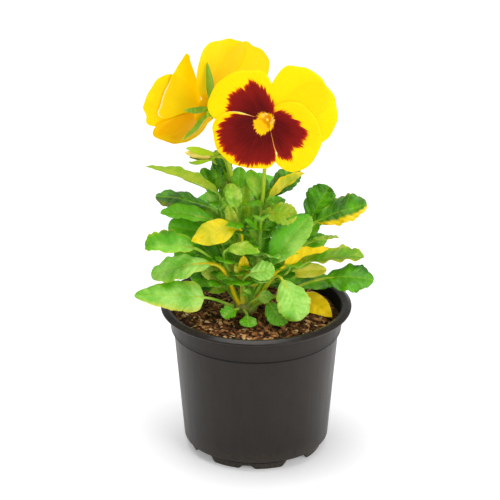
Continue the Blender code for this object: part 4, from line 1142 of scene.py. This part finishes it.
def young_leaf(base, turn, lift, length, rng, tone):
    """A small leaf on a short stalk, which rises by `lift` degrees and arches over."""
    out, flat = aimed(turn, lift), aimed(turn, 0)
    knee = base + out * length * 0.28
    tip = base + flat * length * 0.86 + UPWARD * (length * math.sin(math.radians(lift)) * 0.75)
    face = unit(UPWARD - flat * rng.uniform(-0.25, 0.55))
    width = length * rng.uniform(0.42, 0.56)
    return leaf(base, out, knee, tip, face, width, length * 0.07, 8, 0.5, stalk=0.6,
                curl=rng.uniform(-34, 26), tooth=0.12, seed=int(rng.integers(99)), tone=tone,
                yellow=rng.uniform(0, 0.14), rows=24, **YOUNG_LOOK)


print("a stipule has", len(stipule(CROWN, aimed(0, 0), 0.8, 12.0, np.random.default_rng(1))), "lobes")

# %% [markdown]
# Most young leaves follow the golden angle. The larger ones, which show between the big leaves, have a
# table of their own, because where they stand decides whether the plant looks full or thin.

# %% The tables of young leaves
# How many young leaves a stem has, the lowest and the highest share of it where they stand, and their length.
YOUNG = {
    "stem_middle": (17, 0.24, 0.86, 23),
    "stem_left": (13, 0.19, 0.74, 24),
    "stem_right": (17, 0.19, 0.86, 23),
    "stem_outer": (15, 0.22, 0.84, 24),
    "stem_rear": (13, 0.14, 0.84, 25),
}

# Larger young leaves: where on the stem, the tip, the width, the tone and how far it has turned.
INNER = {
    "stem_middle": [
        (0.88, (-8.9, 8, 161.2), 9, 0.36, 0.07),
        (0.8, (-13.8, 12, 152.4), 9, 0.58, 0.23),
        (0.8, (-19.3, 14, 156.4), 8, 0.36, 0.12),
        (0.9, (-16.5, 4, 152.1), 8, 0.68, 0.23),
        (0.7, (-10.0, 10, 139.4), 9, 0.41, 0.12),
        (0.6, (-15.4, -2, 143.3), 7, 0.68, 0.28),
        (0.5, (-12.2, 8, 123.0), 9, 0.46, 0.02),
        (0.42, (-5.6, 6, 120.2), 9, 0.31, 0.02),
        (0.52, (-18.7, 4, 130.6), 8, 0.58, 0.18),
        (0.24, (-16.4, -4, 110.3), 9, 0.73, 0.33),
        (0.2, (-8.3, -6, 106.5), 8, 0.83, 0.45),
        (0.62, (-5.5, 6, 152.5), 12, 0.60, 0.22),
        (0.08, (-6.8, -11, 117.0), 7, 0.85, 0.80),
        (0.06, (3.0, -12, 108), 7, 0.80, 0.62),
        (0.6, (-18.6, 10, 149), 9, 0.45, 0.10),
    ],
    "stem_right": [
        (0.9, (-3.9, 10, 158.6), 9, 0.48, 0.07),
        (0.85, (3.2, 14, 152.8), 10, 0.31, 0.02),
        (0.72, (3.2, 8, 139.1), 9, 0.58, 0.18),
        (0.6, (-3.4, 10, 134.1), 10, 0.26, 0.02),
        (0.62, (10.9, 12, 133.2), 10, 0.36, 0.02),
        (0.42, (5.9, 8, 120.6), 10, 0.26, 0.02),
        (0.36, (-0.1, 4, 115.7), 9, 0.63, 0.18),
        (0.3, (11.4, 8, 112.2), 11, 0.41, 0.02),
        (0.2, (18.4, 4, 106.8), 11, 0.68, 0.23),
        (0.5, (-2.8, 6, 141.0), 10, 0.60, 0.18),
    ],
    "stem_left": [
        (0.92, (-29.2, 10, 159.8), 9, 0.21, 0.02),
        (0.97, (-23.2, 12, 161.4), 7, 0.26, 0.02),
        (0.3, (-40.6, 8, 103.9), 11, 0.31, 0.02),
        (0.22, (-36.2, 4, 99.7), 11, 0.36, 0.02),
        (0.28, (-30.1, 0, 105.0), 9, 0.68, 0.28),
        (0.12, (-32.9, 6, 93.4), 10, 0.21, 0.02),
        (0.15, (-26.8, 2, 93.4), 9, 0.53, 0.18),
        (0.35, (-42.8, 6, 113.1), 10, 0.58, 0.08),
        (0.5, (-31, 9, 131), 11, 0.30, 0.04),
        (0.4, (-20, 10, 122), 10, 0.35, 0.06),
        (0.35, (-31, 6, 117), 11, 0.30, 0.04),
    ],
    "stem_outer": [
        (0.72, (33.9, 12, 127.2), 10, 0.31, 0.02),
        (0.6, (29.4, 8, 120.6), 10, 0.63, 0.13),
        (0.66, (38.9, 14, 116.8), 10, 0.36, 0.07),
        (0.5, (23.5, 12, 114.7), 10, 0.26, 0.02),
        (0.52, (40.6, 14, 109.6), 9, 0.63, 0.33),
        (0.45, (31.2, 12, 106.9), 10, 0.41, 0.02),
        (0.3, (24.0, 8, 100.3), 10, 0.36, 0.02),
        (0.28, (32.8, 12, 94.9), 11, 0.26, 0.02),
        (0.36, (38.8, 10, 99.4), 9, 0.73, 0.45),
        (0.22, (18.4, 2, 106.5), 10, 0.58, 0.13),
        (0.24, (43.4, 16, 88.9), 10, 0.36, 0.02),
    ],
    "stem_rear": [
        (0.2, (24.2, 22, 86.8), 12, 0.21, 0.02),
        (0.15, (-28.3, 22, 88.1), 12, 0.21, 0.02),
        (0.5, (-2.3, 22, 119.4), 13, 0.26, 0.02),
        (0.7, (-8.9, 22, 127.2), 12, 0.21, 0.02),
        (0.9, (6.5, 22, 142.3), 13, 0.26, 0.02),
        (0.8, (-14.5, 24, 141.5), 12, 0.31, 0.02),
    ],
}


print("larger young leaves:", sum(len(rows) for rows in INNER.values()))

# %% [markdown]
# Each stem is now grown: a ridged tube that swells under each of its leaves, with two stipules there, and
# with its young leaves.

# %% Grow the stems
def inner_leaf(base, tip, width, tone, yellow, seed):
    """A young leaf from its stem to a given tip: it leaves steeply, and its blade looks up and forward."""
    reach = np.asarray(tip) - base
    length = np.linalg.norm(reach)
    knee = base + reach * 0.3 + UPWARD * (0.10 * length)
    face = (0.25 * math.sin(2.1 * seed), -0.8, 0.55)
    out = unit(reach + UPWARD * (0.8 * length))
    return leaf(base, out, knee, tip, face, width, 0.07 * length, 12, 0.55, stalk=0.7,
                curl=30 * math.sin(1.3 * seed), tooth=0.1, seed=seed, tone=tone + 0.08,
                yellow=yellow + 0.08, lopsided=0.12 * math.sin(1.9 * seed), rows=26, **YOUNG_LOOK)


def shoot(name, number):
    """A ridged stem with a swelling under each of its leaves, two stipules there, and its young leaves."""
    rng = np.random.default_rng(40 + number)
    line, along, radius = stem_line(name)
    rows = [row for row in {**GREEN_LEAVES, **YELLOW_LEAVES}.values() if row[0][0] == name]
    share = np.linspace(0, 1, len(line))
    swell = sum(0.32 * np.exp(-(((share - row[0][1]) / 0.018) ** 2)) for row in rows)
    ridged = (radius * (1 + swell))[:, None] * (1 + 0.07 * np.cos(5 * circle(20)))
    side = unit(np.cross(along, ASIDE))
    pieces = [tube(line, along, side, ridged, around=20, tone=0.78, rib=NO_RIB, yellow=0.25)]
    for row in rows:
        base, out = leaf_start(row[0], row[1])
        for lean in (-0.8, 0.8):
            pieces += stipule(base, out, lean, rng.uniform(10, 17), rng)
    count, low, high, length = YOUNG[name]
    for step, place in enumerate(np.linspace(low, high, count)):
        turn = 50 * number + GOLDEN_ANGLE * step
        base = line[round(place * 100)] + aimed(turn, 10) * 0.8
        lift, long = rng.uniform(18, 58), length * rng.uniform(0.75, 1.1)
        pieces.append(young_leaf(base, turn, lift, long, rng, rng.uniform(0.2, 0.85)))
    for step, (place, tip, *look) in enumerate(INNER[name]):
        pieces.append(inner_leaf(line[round(place * 100)], tip, *look, 20 * number + step))
    return join(pieces)


for number, name in enumerate(STEMS):
    grow("pansy_" + name, shoot(name, number), leaf_green, "stem_green", name)

# %% [markdown]
# ## Flowers
# A pansy has five petals: two at the top, two at the sides and a broad one below, each lying over the one
# before. Their outlines, and the dark face on three of them, are given by distances from the throat.

# %% The tables of the flowers
FLOWERS = {"front": ((5.7, -14.0, 196.6), (0.0, 20.0)), "rear": ((-30.0, 18.2, 192.6), (220.3, 10.0))}
# Turn, half spread, layer behind the front one, tilt, and nine distances of the rim from the throat.
PETALS = {
    "front": {
        "lower": (225.5, 60.5, 0, 0, (20.5, 27.9, 29.5, 30.8, 30.2, 28.3, 26.6, 25.3, 20.5)),
        "side_left": (124, 64, 1, 0, (8.0, 14.8, 24.6, 27.7, 30.2, 32.2, 33.0, 30.8, 22.0)),
        "side_right": (-12, 72, 1, 0, (21.0, 30.0, 32.8, 32.0, 29.0, 24.5, 20.0, 14.0, 8.0)),
        "upper_left": (48, 48, 2, 0, (22.0, 32.0, 35.6, 36.0, 35.1, 32.8, 29.0, 18.5, 10.0)),
        "upper_right": (2, 48, 3, 0, (17.0, 26.5, 32.0, 35.2, 37.5, 37.6, 36.8, 34.0, 26.0)),
    },
    "rear": {
        "lower": (16, 46, 0, 25, (24.5, 31.5, 32.0, 33.6, 33.6, 32.5, 31.0, 27.0, 18.0)),
        "side_left": (33, 49, 1, 25, (23.5, 26.0, 24.8, 25.2, 25.6, 26.2, 28.0, 30.5, 33.0)),
        "side_right": (-79, 59, 1, 25, (17.0, 23.5, 27.5, 28.8, 29.0, 29.0, 29.8, 31.6, 26.5)),
        "upper_left": (100, 36, 3, 0, (22.0, 33.0, 41.0, 42.0, 42.0, 42.0, 41.4, 38.0, 27.0)),
        "upper_right": (142, 42, 2, 0, (26.0, 38.5, 42.4, 43.0, 44.4, 45.2, 42.6, 36.0, 24.0)),
    },
}
# How far the dark face reaches, in mm from the throat, at angles round the flower: 0 right, 90 up.
FACE = {
    "lower": (
        (165, 8), (170.5, 19.8), (177, 22.2), (184.4, 25.7), (194, 27.8), (205.4, 28.8), (218, 29.2),
        (226.6, 27.2), (234, 28.7), (247.4, 27), (261.7, 24.1), (268, 24.8), (276.2, 24), (282, 22),
        (286, 17.4), (292.5, 6.8)),
    "side_left": (
        (65, 10.3), (76, 11), (88, 14.2), (95.6, 17.7), (104.8, 20.4), (113, 23.3), (119, 23.1), (128, 20.4),
        (129.5, 23.0), (135, 24.4), (145.6, 24.2), (153, 23.4), (165, 23.9), (178, 21)),
    "side_right": (
        (-84, 12), (-75, 19), (-71.4, 21.8), (-67.8, 24.2), (-61.5, 26.4), (-53, 23.1), (-45.4, 22.3),
        (-34, 23.6), (-21.3, 23.3), (-16.5, 22.2), (-7.3, 18.8), (0.8, 15.6), (18, 11.9), (33, 10.4),
        (43.8, 7.2)),
}
# Where the yellow eye ends and the dark face starts, in mm from the throat, at the same angles.
EYE = {
    "lower": ((170, 5.5), (185, 7.0), (204, 8.0), (250, 8.8), (262, 7.3), (272, 6.0), (290, 4.3)),
    "side_left": ((70, 3.3), (90, 3.3), (135, 5.0), (165, 5.5)),
    "side_right": ((-80, 6.5), (-35, 3.9), (20, 3.4), (43, 3.6)),
}
THROAT, NO_FACE = 2.5, dict(blotch=-1.0, eye=-9.0)


print("petals:", sum(len(petals) for petals in PETALS.values()))

# %% [markdown]
# A petal is a fan of radii about the throat. Its face sinks into the throat, its outer part ripples, and
# its rim waves. A cloth simulation could ripple it, but a formula keeps the ripples smaller than the gap
# between two petals, so that they don't cross.

# %% Shape a petal
def flower_frame(label):
    """Throat, right, up and facing directions of a flower, as its face is looked at."""
    centre, (turn, lift) = FLOWERS[label]
    facing = aimed(turn, lift)
    right = unit(np.cross(UPWARD, facing))
    return np.array(centre), right, np.cross(facing, right), facing


def petal(label, part, seed, rows=40, columns=75):
    """One petal as a fan on a cone that leans forward by the tilt.

    Its rim passes smoothly through its nine distances, times a slow wave. Its face sinks by 5 exp(-r / 4)
    into the throat and falls back by 1.3 (r / 30)^2 toward the rim. The ripple depends only on the place
    round the flower, so petals that overlap ripple together.
    """
    turn, spread, layer, tilt, rim = PETALS[label][part]
    centre, right, up, facing = flower_frame(label)
    reach = (1 - (1 - np.linspace(0, 1, rows)) ** 1.3)[:, None]
    across = np.linspace(-1, 1, columns)[None, :]
    wavy = 1 + 0.006 * np.sin(9.3 * across + seed) + 0.005 * np.sin(17.7 * across + 2 * seed)
    rim = smooth_line(np.array(rim)[:, None], columns)[0][:, 0] * wavy * (1 - 0.10 * np.abs(across) ** 30)
    radius = THROAT + (rim - THROAT) * reach
    opened = 0.62 + 0.38 * np.clip(reach / 0.2, 0, 1) ** 1.5
    sway = np.radians(1.5) * np.sin(7 * reach + seed) * across**4 * reach
    angle = np.radians(spread) * across * opened + sway
    around = turn + np.degrees(angle)
    rise = -5.0 * np.exp(-radius / 4.0) - min(layer, 2.5) * 1.3 - 1.3 * (radius / 30.0) ** 2
    ripple = np.sin(around / 7.4 + radius / 16.0) + 0.6 * np.sin(around / 4.1 + 2.0)
    rise = rise + (radius / 35.0) ** 2.2 * (0.16 + 0.24 * ease(radius, 29.0, 38.0)) * ripple
    rise = rise - 0.4 * ease(reach, 0.93, 1.0) ** 2
    beyond = radius - THROAT
    rise = rise + beyond * math.sin(math.radians(tilt))
    flat_radius = radius - beyond * (1 - math.cos(math.radians(tilt)))
    forward, sideways = flat_radius * np.cos(angle), flat_radius * np.sin(angle)
    ahead, beside = at_angle(right, up, turn), at_angle(up, -right, turn)
    sheet = centre + forward[..., None] * ahead + sideways[..., None] * beside
    depth = 0.18 + 0.12 * (1 - reach) * np.ones_like(across)
    points = [sheet + (rise - 0.15 + way * depth)[..., None] * facing for way in (1, -1)]
    no_blotch, no_eye = (np.full(rise.shape, NO_FACE[mark]) for mark in ("blotch", "eye"))
    blotch, eye = no_blotch, no_eye
    if part in FACE:
        home = PETALS["front"][part]
        mirrored = -1 if (label, part) == ("rear", "side_right") else 1
        measured = home[0] + mirrored * np.degrees(angle) * home[1] / spread
        size = np.mean(PETALS[label][part][4]) / np.mean(home[4])
        blotch = (np.interp(measured, *np.array(FACE[part]).T) * size - 1.0 - radius) / 30.0
        eye = radius - np.interp(measured, *np.array(EYE[part]).T)
    cream = 0.0 * radius
    if (label, part) == ("front", "lower"):
        cream = ease(np.abs(across), 0.965, 0.99) * ease(radius, 4, 9) * 0.95
    if (label, part) == ("rear", "side_left"):
        cream = cream + 0.9 * ease(reach, 0.955, 0.985) * ease(-across, -0.3, 0.1) * ease(across, -0.95, -0.8)
    through = ease(blotch, -0.06, 0.06) * ease(eye, -1, 2) * {"side_right": 0.9, "lower": 0.3}.get(part, 0.12)

    def both(front, back):
        """A mark of the front and the back of the petal, point by point."""
        return np.concatenate([np.ravel(front), np.ravel(back)])

    uv = np.stack(np.broadcast_arrays(across + 3.0 * seed, reach), -1).reshape(-1, 2)
    warm = 0.06 + 0.74 * (label == "rear") * (part == "side_right")
    gold = both(0.9 * (part == "lower") * ease(radius, 9.0, 5.0), 0.8 * through + warm)
    return surface(np.concatenate([sheet.reshape(-1, 3) for sheet in points]), sheet_faces(*rise.shape),
                   np.tile(uv, (2, 1)), blotch=both(blotch, no_blotch), eye=both(eye, no_eye),
                   gold=gold, cream=both(cream, cream))


print("faces are drawn for:", ", ".join(FACE))

# %% [markdown]
# The throat is a small cup in which the petals meet, with the round head of the pistil in it. Both are part
# of the lower petal's piece. Each side petal's piece has a beard, the short cream hairs beside the throat.
# A hair particle system could grow them, but so few are easily made as tubes.

# %% Grow the petals
def lathe_along(centre, facing, right, profile, around=24, **marks):
    """A closed turned shape about the facing direction, from (radius, height) pairs."""
    radii, heights = np.array(profile, float).T
    line = centre + heights[:, None] * facing
    along, side = (np.broadcast_to(way, line.shape) for way in (facing, right))
    return tube(line, along, side, radii, around=around, **marks)


def throat(label):
    """The cup in which the petals meet, and the small round pistil head in it."""
    centre, right, _, facing = flower_frame(label)
    cup = np.array([(0.3, -7.4), (3.4, -7.2), (6.0, -6.2), (6.8, -5.4), (6.6, -5.1), (5.4, -5.7), (3.0, -6.5),
                    (0.3, -6.8)])
    cup[:, 0] *= {"front": 1.0, "rear": 1.3}[label]
    pistil = [(0.4, -6.9), (0.4, -4.4), (0.45, -2.8), (0.6, -2.3), (0.7, -1.9), (0.65, -1.5), (0.4, -1.2),
              (0.15, -1.1)]
    return [lathe_along(centre, facing, right, cup, gold=0.55, **NO_FACE),
            lathe_along(centre, facing, right, pistil, gold=0.15, cream=0.2, **NO_FACE)]


def beard(label, part, seed):
    """Short cream hairs at the foot of a side petal, beside the throat: one tapering tube for each."""
    turn = PETALS[label][part][0]
    centre, right, up, facing = flower_frame(label)
    rng = np.random.default_rng(seed)
    hairs = []
    for _ in range(34):
        way = at_angle(right, up, turn + rng.uniform(-36, 36))
        place = centre + way * rng.uniform(2.7, 4.1)
        place = place + facing * (-5.0 * math.exp(-np.linalg.norm(place - centre) / 4.0) - 1.4)
        lean = unit(facing - way * 0.6 + rng.normal(size=3) * 0.25)
        line, along = smooth_line([place, place + lean * 0.7, place + lean * 1.2 - way * 0.4], 4)
        side = unit(np.cross(along, up + 0.1 * right))
        hairs.append(tube(line, along, side, (0.10, 0.09, 0.08, 0.04), around=5, cream=0.5, **NO_FACE))
    return hairs


for label in FLOWERS:
    for number, part in enumerate(PETALS[label]):
        seed = number + 10 * (label == "rear")
        shapes = [petal(label, part, seed)]
        if part.startswith("side"):
            shapes += beard(label, part, seed)
        elif part == "lower":
            shapes += throat(label)
        name = f"petal_{label}_{part}"
        grow(name + "_surface", join(shapes), petal_yellow, "petal_yellow", name)

# %% [markdown]
# Behind each flower five pointed sepals spread from a short column, and each has a small lobe that points
# back along the stalk. Sepals are blades again, narrow and without teeth. The column is a turned shape and
# the spur a short bent tube.

# %% Shape the sepals and the stalks
def sepal(root, tip, face, width, arch, fold, point, **look):
    """A narrow blade without teeth."""
    return blade(root, tip, face, width, arch, fold, point, teeth=2, tooth=0.0, quilt=0.05, thick=0.5,
                 rows=34, columns=14, **look)


def lobe(root, tip, face, width, **look):
    """The small blunt lobe that points back from the foot of a sepal."""
    return blade(root, tip, face, width, 0.3, 6, 0.35, teeth=2, tooth=0.1, quilt=0.05, thick=0.4,
                 rows=14, columns=10, **look)


COLUMN = [(0.3, -11.6), (1.1, -11.4), (1.9, -10.6), (2.2, -9.6), (2.0, -8.2), (1.6, -7.2), (0.9, -6.9),
          (0.3, -6.8)]


def calyx(label, lean, lift, sepals):
    """Column, five sepals with their backward lobes, and the spur of one flower.

    `sepals` gives the turn and the length of each. They sit `lift` mm above the middle of the column and
    lean forward by `lean` mm for each mm of length.
    """
    centre, right, up, facing = flower_frame(label)
    pieces = [lathe_along(centre, facing, right, COLUMN, tone=0.45)]
    centre = centre + lift * up
    for number, (turn, length) in enumerate(sepals):
        way = at_angle(right, up, turn)
        tip = centre + way * (length + 1.5) - facing * (9.8 - lean * length)
        pieces.append(sepal(centre - facing * 9.6 + way * 1.4, tip, facing, 3.6 + length * 0.05, -0.8, 8, 0.8,
                            curl=16, wave=0.3, foot=1.1, seed=number, tone=0.34))
        back = centre - facing * 9.9 + way * 1.6
        tip = back + way * 2.0 - facing * 3.4
        pieces.append(lobe(back, tip, way, 2.8, foot=0.9, seed=number + 9, tone=0.8))
    way = at_angle(right, up, sepals[-1][0] + 34)
    first = centre - facing * 8.6 + way * 1.0
    line, along = smooth_line([first, first + way * 2.6 - facing * 1.6, first + way * 4.6 - facing * 4.2], 14)
    side = np.broadcast_to(unit(np.cross(way, facing)), line.shape)
    return join([*pieces, tube(line, along, side, np.linspace(1.3, 0.7, 14), around=16, tone=1.3)])


def stalk(points, start, finish, count=60, flush=0.1):
    """A flower's stalk: a tube with a faint groove, whose radius runs from `start` to `finish`."""
    line, along = smooth_line(points, count)
    groove = 1 - 0.16 * np.exp(-(((circle(16) - 2.0) / 0.4) ** 2))
    radius = np.linspace(start, finish, count)[:, None] * groove
    return tube(line, along, unit(np.cross(along, ASIDE)), radius, around=16, tone=1.0, flush=flush)


print("the column is", round(COLUMN[-1][1] - COLUMN[0][1], 1), "mm long")

# %% [markdown]
# A flower's stalk starts at the tip of its stem and ends at the column behind the flower. It bends at the
# top, so that the flower looks outward.

# %% Grow the sepals and the stalks
BACK = {"front": [(3.8, 2.2, 150), (4.8, 4.5, 168), (5.6, 6.0, 183), (5.7, 2.5, 191)],
        "rear": [(-13, 6, 156), (-15.5, 4.5, 168), (-17.5, 2.5, 180), (-19.5, 4, 188)]}
for label, stem, lean, lift, sepals in (
    ("front", "stem_right", 0.0, 0.0, ((0, 15), (72, 15), (144, 15), (216, 15), (288, 15))),
    ("rear", "stem_middle", 0.17, 2.6, ((8, 16.5), (82, 26), (155, 15), (228, 15), (312, 21))),
):
    centre, _, _, facing = flower_frame(label)
    shape = calyx(label, lean, lift, sepals)
    grow(f"calyx_{label}_surface", shape, sepal_green, "sepal_green", "calyx_" + label)
    line, along, _ = stem_line(stem)
    end = centre - facing * 11.4
    shape = stalk([line[-1] - along[-1] * 0.6, *BACK[label], end - facing * 2.5, end], 1.1, 0.95)
    grow(f"flower_stalk_{label}", shape, stem_green, "stem_green", "stalk_" + label)

# %% [markdown]
# The bud is still closed, a twisted cone of petals. They are one turned shape with a spiral fold.

# %% Roll the petals of the bud
BUD, bud_facing = np.array([-23.5, 5.0, 168.5]), aimed(-80.0, 12.0)
bud_right = unit(np.cross(UPWARD, bud_facing))
bud_up = np.cross(bud_facing, bud_right)
height, angle = np.linspace(0.0, 1.0, 40), circle(36)
body = np.interp(height, [0, 0.1, 0.35, 0.65, 0.88, 1], [1.3, 1.9, 2.45, 2.2, 1.2, 0.3])
spiral = np.mod(angle[None, :] * 2 / (2 * math.pi) + height[:, None] * 1.2, 1.0)
folded = body[:, None] * (1 + 0.14 * spiral - 0.07)
line = BUD + (1.5 + 14.0 * height)[:, None] * bud_facing
along, side = (np.broadcast_to(way, line.shape) for way in (bud_facing, bud_right))
rolled = tube(line, along, side, folded, around=len(angle), cream=0.45, **NO_FACE)
grow("bud_petals_surface", rolled, petal_yellow, "petal_yellow", "bud_petals")

# %% [markdown]
# Five green sepals stand round the bud and part at their tips, some close to the petals and some spread.
# The stalk leaves the middle stem near its tip.

# %% Grow the sepals and the stalk of the bud
# Turn round the bud, how far out and how far forward the tip stands, and tone.
BUD_SEPALS = [(58, 4.4, 15.5, 1.1), (122, 2.2, 15.0, 0.7), (180, 1.5, 11.0, 0.5), (238, 3.6, 12.0, 0.4),
              (302, 4.8, 13.0, 0.75)]
CUP = [(0.6, -1.7), (1.3, -1.2), (2.0, -0.4), (2.3, 0.3), (1.8, 1.2)]
green = [lathe_along(BUD, bud_facing, bud_right, CUP, tone=0.5)]
for number, (turn, outward, forward, tone) in enumerate(BUD_SEPALS):
    way = at_angle(bud_right, bud_up, turn)
    root = BUD + way * 2.2
    tip = BUD + way * outward + bud_facing * forward
    back = root + way * 1.6 - bud_facing * 3.0
    green.append(sepal(root, tip, way, 5.8, 0.9, -12, 0.7, curl=-30, wave=0.25, foot=1.3,
                       seed=number + 30, tone=tone))
    green.append(lobe(root - bud_facing * 0.3, back, way, 2.6, foot=0.8, seed=number + 40, tone=0.5))
grow("bud_sepals_surface", join(green), sepal_green, "sepal_green", "bud_sepals")
bend = np.array([-14.5, 9, 155.0])
_, out = leaf_start(("stem_middle", 0.97), bend)
line, _, radius = stem_line("stem_middle")
first = line[97] + out * radius[97] * 0.4
points = [first, first + out * 2.8, bend, (-16, 7.5, 163), (-18, 6, 167.5), BUD - bud_facing * 1.5]
grow("bud_stalk", stalk(points, 0.8, 0.8, 40, 0.3), stem_green, "stem_green", "stalk_bud")

# %% [markdown]
# ## The crown
# All stems meet in a short woody knob half sunk in the soil, with a tapering root below it. The knob has the
# scars of old leaves, which are ridges round it. One profile turned round the axis makes it, and two slow
# noises take off its roundness.

# %% Turn the crown
ROOT = [(0, 57.5), (1.2, 57.5), (2.2, 62.0), (3.2, 67.5), (4.1, 73.5), (4.9, 76.6), (6.0, 78.7), (6.6, 81.5),
        (6.2, 84.0), (4.9, 86.1), (2.8, 87.6), (0, 88.1)]
CROWN_AROUND = 48
radius, height = smooth_line([(r, 0, z) for r, z in ROOT], 90)[0][1:-1, [0, 2]].T
angle = circle(CROWN_AROUND)
rings = np.maximum(radius, 0)[:, None, None] * np.stack([np.cos(angle), np.sin(angle), 0 * angle], -1)
rings[..., 2] = height[:, None]
scars = 0.035 * np.sin(height * 3.1)[:, None] * (0.5 + 0.5 * rumple(rings, 6.0, 70))
rings[..., :2] *= (1 + scars + 0.03 * rumple(rings, 4.0, 71))[..., None]
rings += (CROWN[0], CROWN[1], 0)
ends = [(CROWN[0], CROWN[1], ROOT[0][1]), (CROWN[0], CROWN[1], ROOT[-1][1])]
tone = np.append(np.repeat(ease(height, 76, 86), CROWN_AROUND), [0, 1])
faces = tube_faces(len(radius), CROWN_AROUND)
crown = surface(np.vstack([rings.reshape(-1, 3), ends]), faces, (0, 0), tone=tone)
grow("pansy_crown", crown, root_brown, "root_brown", "root_crown")

# %% [markdown]
# ## The sizes
# The last cell prints the box round the finished pieces and the box round the plain solids.

# %% Write the sizes and finish
look_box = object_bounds()
for title, box in (("plain", cad_box), ("finished", look_box)):
    print(title, "box in mm:", in_mm(box))
